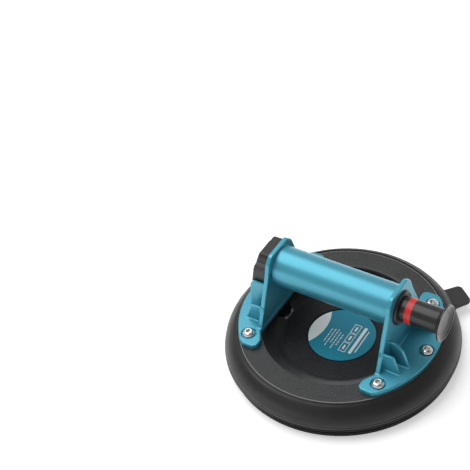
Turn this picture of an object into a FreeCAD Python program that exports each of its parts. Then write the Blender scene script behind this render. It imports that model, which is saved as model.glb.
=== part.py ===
# Vacuum suction lifter for floor tiles: a 203 mm rubber cup on a backing plate, two metal
# brackets, a handle tube with a push-plunger hand pump inside, and an end cap.
# Frame: millimetres, +Z up, origin at the bottom centre of the cup (plane of the sealing lip),
# +X along the handle towards the plunger.
import FreeCAD, Part
import Sketcher
import math
import os
import re

doc = FreeCAD.newDocument("SuctionLifter")
V = FreeCAD.Vector
sheet = doc.addObject("Spreadsheet::Sheet", "Dim")

# ---------------------------------------------------------------- driving dimensions
D = {}
ROWS = [
    # cup and rubber rim (radius, height pairs of the outer profile)
    ("lip_in", 93.6), ("lip_out", 98.6), ("lip_top", 4.6), ("groove_rad", 97.0), ("groove_top", 5.9),
    ("rim_low_rad", 98.9), ("rim_low_z", 6.5), ("rim_a_rad", 100.6), ("rim_a_z", 8.0),
    ("rim_rad", 101.6), ("rim_z", 10.8), ("rim_b_rad", 101.2), ("rim_b_z", 14.6),
    ("rim_c_rad", 99.0), ("rim_c_z", 20.4), ("rim_d_rad", 96.0), ("rim_d_z", 24.8),
    ("rim_e_rad", 92.2), ("rim_e_z", 28.2), ("seam_rad", 88.3), ("seam_z", 29.9),
    ("lip_in_a", 92.0), ("lip_in_az", 1.6), ("lip_in_b", 88.6), ("dish_z", 6.0), ("skin_z", 9.0),
    ("seat_z", 25.0), ("seat_rad", 85.5),
    ("ridge_w", 1.6), ("ridge_z", 5.1), ("ridge_one", 78.0), ("ridge_two", 62.0), ("ridge_three", 40.0),
    # backing plate
    ("plate_z", 29.5), ("plate_rad", 88.0), ("plate_low_rad", 85.3), ("plate_low_z", 25.2),
    ("bowl_rad", 68.4), ("wall_a_rad", 66.9), ("wall_a_z", 21.6), ("shelf_rad", 56.0), ("shelf_z", 18.0),
    ("step_rad", 52.6), ("floor_z", 14.0), ("label_cut_rad", 30.3), ("label_cut_z", 13.4),
    ("label_rad", 29.8), ("label_thk", 0.5), ("label_gap", 0.02),
    ("well_x", 62.5), ("well_rad", 10.3), ("well_lip_rad", 11.7), ("well_lip_z", 15.0), ("well_z", 12.5),
    ("port_rad", 3.15), ("filter_cut_rad", 8.3), ("filter_cut_z", 10.8), ("filter_rad", 8.1), ("filter_thk", 1.7),
    ("pad_port_rad", 9.4), ("ret_rad", 9.1), ("ret_in", 6.4), ("ret_z", 7.2), ("bar_w", 1.6),
    # fasteners of the brackets
    ("ear_x", 61.5), ("ear_y", 49.4), ("mid_x", 80.2), ("ins_rad", 4.0), ("ins_hole", 4.1), ("ins_len", 12.0),
    ("ins_bore", 3.1), ("shank_rad", 3.0), ("shank_low", 20.0), ("head_rad", 5.25), ("head_hgt", 3.3), ("hex_r", 2.3),
    ("hex_deep", 2.0), ("clear_rad", 3.4), ("cbore_rad", 6.4), ("cbore_deep", 0.6),
    # brackets
    ("base_thk", 5.0), ("base_rad", 87.5), ("base_y", 58.2), ("base_ya", 60.8), ("base_xa", 65.3), ("base_xb", 61.5),
    ("base_xc", 51.4), ("base_xd", 48.2), ("base_yd", 52.0), ("base_xe", 50.3), ("base_ye", 48.0), ("base_yf", 42.5),
    ("wall_in", 54.0), ("wall_thk", 4.0), ("wall_ya", 40.5), ("wall_yb", 35.0), ("wall_zb", 46.7), ("wall_yc", 28.8),
    ("wall_zc", 62.0), ("wall_yd", 22.7), ("wall_zd", 76.0), ("wall_ye", 18.6), ("wall_ze", 89.4), ("wall_yg", 12.5),
    ("wall_top", 95.2),
    ("axis_z", 74.9), ("rib_thk", 2.6), ("rib_out_y", 32.4), ("rib_in_y", 22.4), ("rib_out_top", 51.5),
    ("rib_out_xa", 67.4), ("rib_out_xb", 72.9), ("rib_in_top", 57.3), ("rib_in_xa", 64.2), ("rib_in_xb", 70.7),
    ("rib_in_zb", 50.8), ("rib_in_xc", 76.2), ("rib_cap_top", 70.0), ("rib_cap_xa", 69.5), ("rib_cap_xb", 72.4),
    ("rib_cap_zb", 66.0), ("rib_cap_xc", 73.8), ("rib_cap_zc", 51.0), ("rib_cap_xd", 75.8),
    ("spigot_rad", 15.4), ("spigot_in", 13.9), ("spigot_len", 3.0), ("barrel_hole", 13.85), ("pipe_hole", 5.2),
    ("hose_hole", 4.2),
    # handle tube
    ("tube_rad", 17.4), ("tube_in", 15.6),
    # pump
    ("cyl_rad", 13.6), ("cyl_in", 12.3), ("cyl_back", 22.0), ("cyl_front", 57.8),
    ("collar_rad", 15.0), ("collar_x", 58.02), ("collar_thk", 2.4), ("gland_rad", 12.2), ("gland_bore", 11.0), ("gland_x", 31.4),
    ("wiper_rad", 12.9), ("wiper_in", 10.96), ("wiper_x", 58.9), ("wiper_end", 60.1),
    ("sleeve_rad", 10.9), ("sleeve_in", 8.9), ("sleeve_back", 30.0), ("sleeve_front", 93.5),
    ("ring_back", 65.1), ("ring_front", 70.8), ("ring_in", 10.3),
    ("knob_neck", 10.3), ("knob_rad", 15.4), ("knob_back", 93.5), ("knob_front", 97.8), ("knob_spigot", 8.8), ("knob_in_x", 85.0),
    ("pist_rad", 12.15), ("pist_back", 21.0), ("pist_front", 30.0), ("pist_in", 8.6), ("pist_groove", 10.4),
    ("groove_back", 23.0), ("groove_front", 27.0), ("seal_rad", 12.25), ("seal_in", 10.45), ("seal_back", 23.1), ("seal_front", 26.9),
    ("pist_spig", 8.8), ("pist_spig_x", 36.0), ("pist_bore", 8.05),
    ("seat_back", 56.0), ("seat_front", 60.0), ("seat_r", 8.8),
    ("exh_rad", 6.6), ("exh_front", 61.0), ("exh_stem", 1.1), ("exh_hole", 1.25), ("exh_stem_x", 53.2), ("exh_port", 0.9), ("exh_port_r", 4.2),
    ("plug_back", 30.0), ("plug_mid", 22.0), ("plug_front", 14.0), ("plug_rad", 13.5), ("plug_spig", 12.15),
    ("post_rad", 5.8), ("post_end", 21.5), ("boss_rad", 8.4), ("boss_x", 11.5), ("plug_bore", 2.6), ("plug_sock", 5.1), ("plug_sock_x", 25.0),
    ("plug_cav_rad", 11.0), ("plug_cav_a", 20.0), ("plug_cav_b", 18.0), ("plug_port_rad", 0.9), ("plug_port_r", 10.2),
    ("oring_pos", 17.0), ("oring_rad", 0.9), ("oring_ring", 11.2), ("oring_cut", 0.15),
    ("flap_in", 8.7), ("flap_rad", 11.9), ("flap_thk", 0.9),
    ("spring_rad", 7.15), ("wire_rad", 0.65), ("spring_a", 10.8), ("spring_b", 55.3), ("spring_pitch", 5.3),
    ("pipe_rad", 5.0), ("pipe_in", 2.5), ("pipe_a", 63.8), ("pipe_b", 25.1),
    ("washer_rad", 8.8), ("washer_thk", 0.8), ("nut_af", 16.0), ("nut_thk", 3.2),
    ("elbow_a", 62.3), ("elbow_b", 68.5), ("elbow_half", 5.6), ("elbow_low", 68.2), ("elbow_high", 80.6), ("elbow_leg_x", 65.4),
    ("barb_rad", 2.3), ("barb_low", 58.5), ("barb_bore", 1.4),
    ("hose_rad", 3.5), ("hose_in", 2.35), ("hose_top", 67.9), ("hose_a", 53.0), ("hose_b", 41.0), ("hose_low", 21.0),
    ("stem_fl_rad", 6.2), ("stem_fl_z", 15.4), ("stem_top", 28.0), ("stem_spig", 3.1), ("stem_spig_z", 10.9),
    ("port_or_ring", 4.6), ("port_or_rad", 0.7), ("port_or_z", 13.25),
    # end cap
    ("cap_slope", 11.31), ("cap_ref_x", 71.0), ("cap_ref_z", 75.0), ("cap_low", 54.8), ("cap_low_y", 15.2), ("cap_low_ya", 18.8), ("cap_low_za", 57.6), ("cap_side_y", 20.7),
    ("cap_side_z", 68.0), ("cap_side_top", 81.5), ("cap_boss_y", 19.6), ("cap_boss_z", 84.6), ("cap_boss_ya", 17.4),
    ("cap_boss_za", 86.0), ("cap_notch_y", 15.4), ("cap_notch_z", 86.2), ("cap_dome_y", 13.6), ("cap_dome_z", 91.2),
    ("cap_dome_ya", 11.2), ("cap_top", 93.6), ("cap_len", 20.0), ("cap_x", 58.02),
    ("cav_y", 10.6), ("cav_low", 58.6), ("cav_top", 88.6), ("cav_a", 66.4), ("cav_mid", 82.0), ("cav_b", 69.0), ("cav_c", 64.0), ("cav_d", 71.6),
    ("scr_y", 16.9), ("scr_z", 77.5), ("scr_hole", 3.1), ("scr_seat", 63.0), ("scr_head", 2.9), ("scr_head_h", 2.0), ("scr_rad", 1.9),
    ("scr_end", 54.4), ("scr_clear", 2.1), ("scr_hex", 1.25), ("scr_hex_deep", 1.2),
    ("hexp_top_y", 8.7), ("hexp_top", 14.6), ("hexp_mid_y", 12.4), ("hexp_mid", 7.7), ("hexp_lowm", 9.6), ("hexp_low_y", 8.6), ("hexp_low", 16.4),
    ("hexp_deep", 1.2), ("hexp_gap", 0.35), ("hexp_out", 2.0), ("hexp_cham", 0.7),
    # release tab
    ("tab_ang", 52.0), ("tab_in", 102.6), ("tab_out", 118.0), ("tab_half", 11.6), ("tab_low", 10.0), ("tab_top", 12.7), ("tab_round", 4.5),
    ("root_in", 99.0), ("root_out", 102.3), ("root_low", 9.9), ("root_top", 12.8),
]
for i, (name, value) in enumerate(ROWS):
    cell = "A%d" % (i + 1)
    sheet.set(cell, str(value))
    sheet.setAlias(cell, name)
    D[name] = float(value)
doc.recompute()

TERM = re.compile(r"([+-]?)\s*(?:([0-9.]+)\*)?([A-Za-z_][A-Za-z_0-9]*|[0-9.]+)")


def num(text):
    """Value of a sum of named dimensions and numbers."""
    total = 0.0
    for sign, factor, term in TERM.findall(str(text)):
        v = D[term] if term in D else float(term)
        if factor:
            v *= float(factor)
        total += -v if sign == "-" else v
    return total


def ref(text):
    """The same sum, as an expression on the spreadsheet."""
    out = ""
    for sign, factor, term in TERM.findall(str(text)):
        t = "Dim." + term if term in D else term
        if factor:
            t = factor + " * " + t
        out += (" - " if sign == "-" else (" + " if out else "")) + t
    return out.strip() if not out.startswith(" - ") else "0 - " + out[3:]


def bind(obj, prop, text, unit="mm"):
    obj.setExpression(prop, "(" + ref(text) + ") * 1 " + unit)


def new_body(name, z=None, turn=False):
    b = doc.addObject("PartDesign::Body", name)
    b.Label = name
    if turn:
        b.Placement = FreeCAD.Placement(V(0, 0, 0), FreeCAD.Rotation(V(0, 0, 1), 180))
    if z is not None:
        bind(b, "Placement.Base.z", z)
    return b


def origin_plane(body, role):
    for o in body.Origin.OriginFeatures:
        if o.Role == role:
            return o
    raise RuntimeError("no plane " + role)


def new_sketch(body, name, role, off=None):
    sk = body.newObject("Sketcher::SketchObject", name)
    sk.AttachmentSupport = [(origin_plane(body, role), "")]
    sk.MapMode = "FlatFace"
    if off is not None:
        bind(sk, "AttachmentOffset.Base.z", off)
    return sk


def pin(sk, cons, geo, pos, xt, yt):
    """Hold one point of the sketch at named coordinates."""
    for axis, text in (("X", xt), ("Y", yt)):
        v = num(text)
        if abs(v) < 1e-9:
            cons.append((Sketcher.Constraint("PointOnObject", geo, pos, -2 if axis == "X" else -1), None))
        elif v > 0:
            cons.append((Sketcher.Constraint("Distance" + axis, -1, 1, geo, pos, v), ref(text)))
        else:
            cons.append((Sketcher.Constraint("Distance" + axis, geo, pos, -1, 1, -v), "0 - (" + ref(text) + ")"))


def put(sk, cons):
    for c, e in cons:
        k = sk.addConstraint(c)
        if e is not None:
            sk.setExpression("Constraints[%d]" % k, "(" + e + ") * 1 mm")


def outline(sk, pts):
    """Closed polygon whose corners are all held by named dimensions."""
    n = len(pts)
    base = sk.GeometryCount
    cons = []
    for i in range(n):
        a, b = pts[i], pts[(i + 1) % n]
        sk.addGeometry(Part.LineSegment(V(num(a[0]), num(a[1]), 0), V(num(b[0]), num(b[1]), 0)), False)
    for i in range(n):
        cons.append((Sketcher.Constraint("Coincident", base + i, 2, base + (i + 1) % n, 1), None))
        pin(sk, cons, base + i, 1, pts[i][0], pts[i][1])
    put(sk, cons)


def ring(sk, xt, yt, rt):
    g = sk.addGeometry(Part.Circle(V(num(xt), num(yt), 0), V(0, 0, 1), num(rt)), False)
    cons = []
    if abs(num(xt)) < 1e-9 and abs(num(yt)) < 1e-9:
        cons.append((Sketcher.Constraint("Coincident", g, 3, -1, 1), None))
    else:
        pin(sk, cons, g, 3, xt, yt)
    cons.append((Sketcher.Constraint("Radius", g, num(rt)), ref(rt)))
    put(sk, cons)


def pad(body, sk, length, name, mid=False, rev=False):
    p = body.newObject("PartDesign::Pad", name)
    p.Profile = sk
    p.Midplane = mid
    p.Reversed = rev
    bind(p, "Length", length)
    doc.recompute()
    return p


def pocket(body, sk, length, name, rev=False, mid=False, through=False):
    before = body.Shape.Volume
    p = body.newObject("PartDesign::Pocket", name)
    p.Profile = sk
    p.Reversed = rev
    p.Midplane = mid
    if through:
        p.Type = "ThroughAll"
    else:
        bind(p, "Length", length)
    doc.recompute()
    if not body.Shape.Volume < before - 1e-6:
        raise RuntimeError("pocket cut nothing: %s %s %s %s" % (name, p.State, before, body.Shape.Volume))
    return p


def revolve(body, sk, axis, name):
    r = body.newObject("PartDesign::Revolution", name)
    r.Profile = sk
    r.ReferenceAxis = (sk, [axis])
    r.Angle = 360.0
    doc.recompute()
    return r


def fillet(body, name, radius, pick, kind="Fillet"):
    """Round or chamfer the edges of the tip that pick(edge) accepts."""
    tip = body.Tip
    names = []
    for i, e in enumerate(tip.Shape.Edges):
        if pick(e):
            names.append("Edge%d" % (i + 1))
    if not names:
        raise RuntimeError("no edge for " + name)
    f = body.newObject("PartDesign::" + kind, name)
    f.Base = (tip, names)
    bind(f, "Radius" if kind == "Fillet" else "Size", radius)
    doc.recompute()
    if "Invalid" in f.State or "Error" in f.State or f.Shape.isNull() or not f.Shape.isValid():
        raise RuntimeError("edge feature failed: " + name)
    return f


def turned(name, pts, z="axis_z", axis="H_Axis", turn=False):
    """A round piece: a closed profile turned about the handle axis or the cup axis."""
    b = new_body(name, z, turn)
    sk = new_sketch(b, name + "_profile", "XZ_Plane")
    outline(sk, pts)
    revolve(b, sk, axis, name + "_turn")
    return b


def xy(e):
    c = e.CenterOfMass
    return c.x, c.y, c.z


def lo(e, k):
    bb = e.BoundBox
    return (bb.XMin, bb.YMin, bb.ZMin)[k]


def hi(e, k):
    bb = e.BoundBox
    return (bb.XMax, bb.YMax, bb.ZMax)[k]


def near(a, b, tol=0.02):
    return abs(a - b) < tol


# ---------------------------------------------------------------- rubber cup
cup = turned("rubber_pad", [
    ("0", "dish_z"), ("lip_in_b", "dish_z"),
    ("lip_in_a", "lip_in_az"), ("lip_in", "0"), ("lip_out-0.5", "0"), ("lip_out", "0.6"), ("lip_out+0.3", "lip_top"),
    ("groove_rad", "lip_top+0.3"), ("groove_rad", "groove_top"), ("rim_low_rad", "rim_low_z"), ("rim_a_rad", "rim_a_z"),
    ("rim_rad", "rim_z"), ("rim_b_rad", "rim_b_z"), ("rim_c_rad", "rim_c_z"), ("rim_d_rad", "rim_d_z"),
    ("rim_e_rad", "rim_e_z"), ("seam_rad+0.5", "seam_z"), ("seam_rad", "seam_z-0.4"), ("seam_rad", "seat_z"),
    ("seat_rad", "seat_z"), ("seat_rad", "skin_z"), ("0", "skin_z")], z=None, axis="V_Axis")
# grip ridges on the underside
for k, r in (("one", "ridge_one"), ("two", "ridge_two"), ("three", "ridge_three")):
    s = new_sketch(cup, "ridge_" + k, "XY_Plane", "ridge_z")
    ring(s, "0", "0", r)
    ring(s, "0", "0", r + "-ridge_w")
    pad(cup, s, "dish_z-ridge_z+0.2", "ridge_pad_" + k)
# root of the release tab, square to the rim
s = new_sketch(cup, "tab_root", "XY_Plane", "root_low")
s.AttachmentOffset = FreeCAD.Placement(V(0, 0, num("root_low")), FreeCAD.Rotation(V(0, 0, 1), num("tab_ang")))
bind(s, "AttachmentOffset.Base.z", "root_low")
bind(s, "AttachmentOffset.Rotation.Angle", "tab_ang", "deg")
outline(s, [("root_in", "-tab_half-1.2"), ("root_out", "-tab_half"), ("root_out", "tab_half"), ("root_in", "tab_half+1.2")])
pad(cup, s, "root_top-root_low", "tab_root_pad")
# air port through the membrane
s = new_sketch(cup, "pad_port", "XY_Plane", "ridge_z-1")
ring(s, "-well_x", "0", "pad_port_rad")
pocket(cup, s, "skin_z-ridge_z+2", "pad_port_cut", rev=True)

# ---------------------------------------------------------------- release tab
tab = new_body("release_tab")
s = new_sketch(tab, "tab_outline", "XY_Plane")
s.AttachmentOffset = FreeCAD.Placement(V(0, 0, num("tab_low")), FreeCAD.Rotation(V(0, 0, 1), num("tab_ang")))
bind(s, "AttachmentOffset.Base.z", "tab_low")
bind(s, "AttachmentOffset.Rotation.Angle", "tab_ang", "deg")
outline(s, [("tab_in", "-tab_half"), ("tab_out", "-tab_half+0.7"), ("tab_out", "tab_half-0.7"), ("tab_in", "tab_half")])
pad(tab, s, "tab_top-tab_low", "tab_pad")
ca, sa = math.cos(math.radians(D["tab_ang"])), math.sin(math.radians(D["tab_ang"]))
fillet(tab, "tab_corners", "tab_round", lambda e: near(hi(e, 2) - lo(e, 2), num("tab_top-tab_low")) and
       xy(e)[0] * ca + xy(e)[1] * sa > num("tab_out-1"))
fillet(tab, "tab_edges", "0.5", lambda e: near(hi(e, 2) - lo(e, 2), 0) and
       xy(e)[0] * ca + xy(e)[1] * sa > num("tab_in+1"))

# ---------------------------------------------------------------- backing plate
plate = turned("backing_plate", [
    ("0", "skin_z"), ("plate_low_rad", "skin_z"), ("plate_low_rad", "plate_low_z"), ("plate_rad", "plate_low_z"),
    ("plate_rad", "plate_z"), ("bowl_rad", "plate_z"), ("wall_a_rad+0.4", "wall_a_z+2.2"), ("wall_a_rad-0.6", "wall_a_z+0.3"),
    ("wall_a_rad-2.4", "wall_a_z-0.7"), ("shelf_rad+1.2", "shelf_z+0.45"), ("shelf_rad-0.3", "shelf_z-0.3"),
    ("shelf_rad-1.0", "shelf_z-1.0"), ("step_rad+0.8", "floor_z+1.1"), ("step_rad-0.2", "floor_z+0.3"), ("step_rad-1.4", "floor_z"),
    ("0", "floor_z")], z=None, axis="V_Axis")
fillet(plate, "bowl_edge", "1.0", lambda e: near(lo(e, 2), D["plate_z"]) and near(hi(e, 0), D["bowl_rad"]))
fillet(plate, "plate_edge", "0.5", lambda e: near(lo(e, 2), D["plate_z"]) and near(hi(e, 0), D["plate_rad"]))
# port well with a raised lip on the bowl side
s = new_sketch(plate, "well", "XY_Plane", "plate_z+1")
ring(s, "-well_x", "0", "well_rad")
pocket(plate, s, "plate_z+1-well_z", "well_cut")
s = new_sketch(plate, "well_lip", "XY_Plane", "well_z-0.5")
ring(s, "-well_x", "0", "well_lip_rad")
ring(s, "-well_x", "0", "well_rad")
pad(plate, s, "well_lip_z-well_z+0.5", "well_lip_pad")
s = new_sketch(plate, "port", "XY_Plane", "well_z+1")
ring(s, "-well_x", "0", "port_rad")
pocket(plate, s, "well_z+1-skin_z+1", "port_cut")
s = new_sketch(plate, "filter_seat", "XY_Plane", "skin_z-1")
ring(s, "-well_x", "0", "filter_cut_rad")
pocket(plate, s, "filter_cut_z-skin_z+1", "filter_seat_cut", rev=True)
# label recess
s = new_sketch(plate, "label_seat", "XY_Plane", "floor_z+1")
ring(s, "0", "0", "label_cut_rad")
pocket(plate, s, "floor_z+1-label_cut_z", "label_seat_cut")
# blind holes for the threaded inserts
s = new_sketch(plate, "insert_holes", "XY_Plane", "plate_z+1")
POINTS = [("ear_x", "ear_y"), ("ear_x", "-ear_y"), ("-ear_x", "ear_y"), ("-ear_x", "-ear_y"), ("mid_x", "0"), ("-mid_x", "0")]
for px, py in POINTS:
    ring(s, px, py, "ins_hole")
pocket(plate, s, "ins_len+1.1", "insert_cut")

label = new_body("label_disc")
s = new_sketch(label, "label_round", "XY_Plane", "label_cut_z+label_gap")
ring(s, "0", "0", "label_rad")
pad(label, s, "label_thk", "label_pad")

# ---------------------------------------------------------------- filter and port stem
felt = new_body("port_filter")
s = new_sketch(felt, "felt_round", "XY_Plane", "skin_z+0.05")
ring(s, "-well_x", "0", "filter_rad")
pad(felt, s, "filter_thk", "felt_pad")

keep = new_body("filter_retainer")
s = new_sketch(keep, "keep_ring", "XY_Plane", "ret_z")
ring(s, "-well_x", "0", "ret_rad")
ring(s, "-well_x", "0", "ret_in")
pad(keep, s, "skin_z-ret_z", "keep_pad")
for k in range(2):
    s = new_sketch(keep, "keep_bar_%d" % k, "XY_Plane", "ret_z")
    if k == 0:
        outline(s, [("-well_x-ret_in-0.6", "-0.5*bar_w"), ("-well_x+ret_in+0.6", "-0.5*bar_w"),
                    ("-well_x+ret_in+0.6", "0.5*bar_w"), ("-well_x-ret_in-0.6", "0.5*bar_w")])
    else:
        outline(s, [("-well_x-0.5*bar_w", "-ret_in-0.6"), ("-well_x+0.5*bar_w", "-ret_in-0.6"),
                    ("-well_x+0.5*bar_w", "ret_in+0.6"), ("-well_x-0.5*bar_w", "ret_in+0.6")])
    pad(keep, s, "1.2", "keep_bar_pad_%d" % k)

stem = new_body("port_stem")
bind(stem, "Placement.Base.x", "-well_x")
s = new_sketch(stem, "stem_profile", "XZ_Plane")
outline(s, [("barb_bore", "stem_spig_z"), ("stem_spig", "stem_spig_z"), ("stem_spig", "well_z"), ("stem_fl_rad", "well_z"),
            ("stem_fl_rad", "stem_fl_z"), ("barb_rad", "stem_fl_z"), ("barb_rad", "stem_top-1.5"), ("barb_rad-0.5", "stem_top"),
            ("barb_bore", "stem_top")])
revolve(stem, s, "V_Axis", "stem_turn")
s = new_sketch(stem, "stem_seal_groove", "XZ_Plane")
outline(s, [("port_or_ring-port_or_rad-0.1", "well_z-0.5"), ("port_or_ring+port_or_rad+0.1", "well_z-0.5"),
            ("port_or_ring+port_or_rad+0.1", "well_z+2*port_or_rad+0.1"), ("port_or_ring-port_or_rad-0.1", "well_z+2*port_or_rad+0.1")])
g = stem.newObject("PartDesign::Groove", "stem_seal_cut")
g.Profile = s
g.ReferenceAxis = (s, ["V_Axis"])
g.Angle = 360.0
doc.recompute()

oring = doc.addObject("Part::Torus", "port_oring")
oring.Label = "port_oring"
bind(oring, "Radius1", "port_or_ring")
bind(oring, "Radius2", "port_or_rad")
bind(oring, "Placement.Base.x", "-well_x")
bind(oring, "Placement.Base.z", "port_or_z")

# ---------------------------------------------------------------- brackets
def bracket(name, cap_side):
    b = new_body(name, None, cap_side)
    # foot, a plate with a round outer edge
    s = new_sketch(b, name + "_foot", "XY_Plane", "plate_z")
    rr = D["base_rad"]
    ya = D["base_y"]
    xo = math.sqrt(rr * rr - ya * ya)
    arc = Part.Arc(V(xo, -ya, 0), V(rr, 0, 0), V(xo, ya, 0))
    s.addGeometry(arc, False)
    side = [("base_xa", "base_y"), ("base_xb", "base_ya"), ("base_xc", "base_ya"), ("base_xd", "base_y"),
            ("base_xd", "base_yd"), ("base_xe", "base_ye"), ("wall_in", "base_yf")]
    pts = side + [(x, "-" + y) for x, y in reversed(side)]
    pts = pts[1:-1]
    coords = [(xo, ya)] + [(num(x), num(y)) for x, y in pts] + [(xo, -ya)]
    for a, c in zip(coords[:-1], coords[1:]):
        s.addGeometry(Part.LineSegment(V(a[0], a[1], 0), V(c[0], c[1], 0)), False)
    n = len(coords) - 1
    cons = [(Sketcher.Constraint("Coincident", 0, 3, -1, 1), None),
            (Sketcher.Constraint("Coincident", 0, 2, 1, 1), None),
            (Sketcher.Constraint("Coincident", n, 2, 0, 1), None),
            (Sketcher.Constraint("Radius", 0, rr), ref("base_rad")),
            (Sketcher.Constraint("DistanceY", -1, 1, 0, 2, ya), ref("base_y")),
            (Sketcher.Constraint("DistanceY", 0, 1, -1, 1, ya), ref("base_y"))]
    for i in range(1, n):
        cons.append((Sketcher.Constraint("Coincident", i, 2, i + 1, 1), None))
        pin(s, cons, i, 2, pts[i - 1][0], pts[i - 1][1])
    put(s, cons)
    pad(b, s, "base_thk", name + "_foot_pad")
    fillet(b, name + "_foot_round", "2.0", lambda e: near(hi(e, 2) - lo(e, 2), D["base_thk"]) and abs(xy(e)[1]) > 45)
    top = D["plate_z"] + D["base_thk"]
    fillet(b, name + "_foot_edge", "0.9", lambda e: near(lo(e, 2), top) and near(hi(e, 2), top) and hi(e, 0) > D["wall_in"] + 0.1
           or (near(lo(e, 2), top) and near(hi(e, 2), top) and abs(xy(e)[1]) > D["base_yf"] + 1.5))
    # upright wall
    s = new_sketch(b, name + "_wall", "YZ_Plane", "wall_in")
    half = [("wall_ya", "plate_z+base_thk-0.5"), ("wall_yb", "wall_zb"), ("wall_yc", "wall_zc"), ("wall_yd", "wall_zd"),
            ("wall_ye", "wall_ze"), ("wall_yg", "wall_top")]
    outline(s, half + [("-" + y, z) for y, z in reversed(half)])
    pad(b, s, "wall_thk", name + "_wall_pad")
    fillet(b, name + "_wall_round", "5.0", lambda e: near(hi(e, 0) - lo(e, 0), D["wall_thk"]) and hi(e, 2) > D["wall_ze"] - 0.5
           and near(hi(e, 2), lo(e, 2)) and near(hi(e, 1), lo(e, 1)))
    # gusset ribs on the outer side
    lines = {}
    out = [("wall_in+1", "plate_z+2"), ("rib_out_xb+0.6", "plate_z+2"), ("rib_out_xb", "plate_z+base_thk"), ("rib_out_xa", "rib_out_top"),
           ("wall_in+1", "rib_out_top")]
    if cap_side:
        inn = [("wall_in+1", "plate_z+2"), ("rib_cap_xd+0.2", "plate_z+2"), ("rib_cap_xd", "plate_z+base_thk"),
               ("rib_cap_xc", "rib_cap_zc"), ("rib_cap_xb", "rib_cap_zb"), ("rib_cap_xa", "rib_cap_top"), ("wall_in+1", "rib_cap_top")]
    else:
        inn = [("wall_in+1", "plate_z+2"), ("rib_in_xc+0.6", "plate_z+2"), ("rib_in_xc", "plate_z+base_thk"), ("rib_in_xb", "rib_in_zb"),
               ("rib_in_xa", "rib_in_top"), ("wall_in+1", "rib_in_top")]
    for tag, yy, prof in (("a", "rib_out_y", out), ("b", "-rib_out_y", out), ("c", "rib_in_y", inn), ("d", "-rib_in_y", inn)):
        s = new_sketch(b, name + "_rib_" + tag, "XZ_Plane", "0-" + yy if yy[0] != "-" else yy[1:])
        outline(s, prof)
        pad(b, s, "rib_thk", name + "_rib_pad_" + tag, mid=True)
    # spigot that centres the handle tube
    s = new_sketch(b, name + "_spigot", "YZ_Plane", "wall_in+0.5")
    ring(s, "0", "axis_z", "spigot_rad")
    pad(b, s, "spigot_len+0.5", name + "_spigot_pad", rev=True)
    s = new_sketch(b, name + "_bore", "YZ_Plane", "wall_in-spigot_len-1")
    ring(s, "0", "axis_z", "pipe_hole" if cap_side else "barrel_hole")
    pocket(b, s, "wall_thk+spigot_len+2", name + "_bore_cut", rev=True)
    if cap_side:
        s = new_sketch(b, name + "_relief", "YZ_Plane", "wall_in-spigot_len-1")
        ring(s, "0", "axis_z", "spigot_in")
        pocket(b, s, "spigot_len+1", name + "_relief_cut", rev=True)
        s = new_sketch(b, name + "_cap_holes", "YZ_Plane", "wall_in-1")
        ring(s, "scr_y", "scr_z", "scr_clear")
        ring(s, "-scr_y", "scr_z", "scr_clear")
        pocket(b, s, "wall_thk+2", name + "_cap_holes_cut", rev=True)
        s = new_sketch(b, name + "_hose_hole", "XY_Plane", "plate_z+base_thk+1")
        ring(s, "well_x", "0", "hose_hole")
        pocket(b, s, "base_thk+2", name + "_hose_cut")
    # screw holes with a shallow counterbore
    for tag, rt, deep in (("clear", "clear_rad", "base_thk+2"), ("cbore", "cbore_rad", "cbore_deep+1")):
        s = new_sketch(b, name + "_" + tag, "XY_Plane", "plate_z+base_thk+1")
        ring(s, "ear_x", "ear_y", rt)
        ring(s, "ear_x", "-ear_y", rt)
        ring(s, "mid_x", "0", rt)
        pocket(b, s, deep, name + "_" + tag + "_cut")
    return b


bracket("pump_end_bracket", False)
bracket("cap_end_bracket", True)

# ---------------------------------------------------------------- handle tube
tube = turned("handle_tube", [("-wall_in+0.02", "tube_in"), ("wall_in-0.02", "tube_in"), ("wall_in-0.02", "tube_rad"),
                              ("-wall_in+0.02", "tube_rad")])

# ---------------------------------------------------------------- pump
turned("pump_cylinder", [("-cyl_back", "cyl_in"), ("cyl_front", "cyl_in"), ("cyl_front", "cyl_rad"), ("-cyl_back", "cyl_rad")])
turned("gland_collar", [
    ("gland_x", "gland_bore"), ("wiper_x-0.05", "gland_bore"), ("wiper_x-0.05", "wiper_rad+0.05"), ("wiper_end+0.15", "wiper_rad+0.05"),
    ("collar_x+collar_thk", "wiper_rad+0.25"), ("collar_x+collar_thk", "collar_rad-1.0"), ("collar_x+collar_thk-0.9", "collar_rad"),
    ("collar_x", "collar_rad"), ("collar_x", "gland_rad"), ("gland_x", "gland_rad")])
turned("wiper_seal", [("wiper_x", "wiper_in+0.5"), ("wiper_x+0.6", "wiper_in"), ("wiper_end", "wiper_in"), ("wiper_end", "wiper_rad"),
                      ("wiper_x", "wiper_rad")])
sleeve = turned("plunger_sleeve", [
    ("sleeve_back+0.05", "sleeve_in"), ("sleeve_front", "sleeve_in"), ("sleeve_front", "sleeve_rad-0.3"), ("sleeve_front-0.5", "sleeve_rad"),
    ("ring_front+0.03", "sleeve_rad"), ("ring_front+0.03", "ring_in-0.03"), ("ring_back-0.03", "ring_in-0.03"), ("ring_back-0.03", "sleeve_rad"),
    ("sleeve_back+0.05", "sleeve_rad")])
s = new_sketch(sleeve, "sleeve_vent", "XY_Plane", "-sleeve_rad-1")
ring(s, "82.0", "0", "1.0")
pocket(sleeve, s, "4.0", "sleeve_vent_cut", rev=True)
turned("indicator_ring", [("ring_back", "ring_in"), ("ring_front", "ring_in"), ("ring_front", "sleeve_rad"), ("ring_back", "sleeve_rad")])
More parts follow.
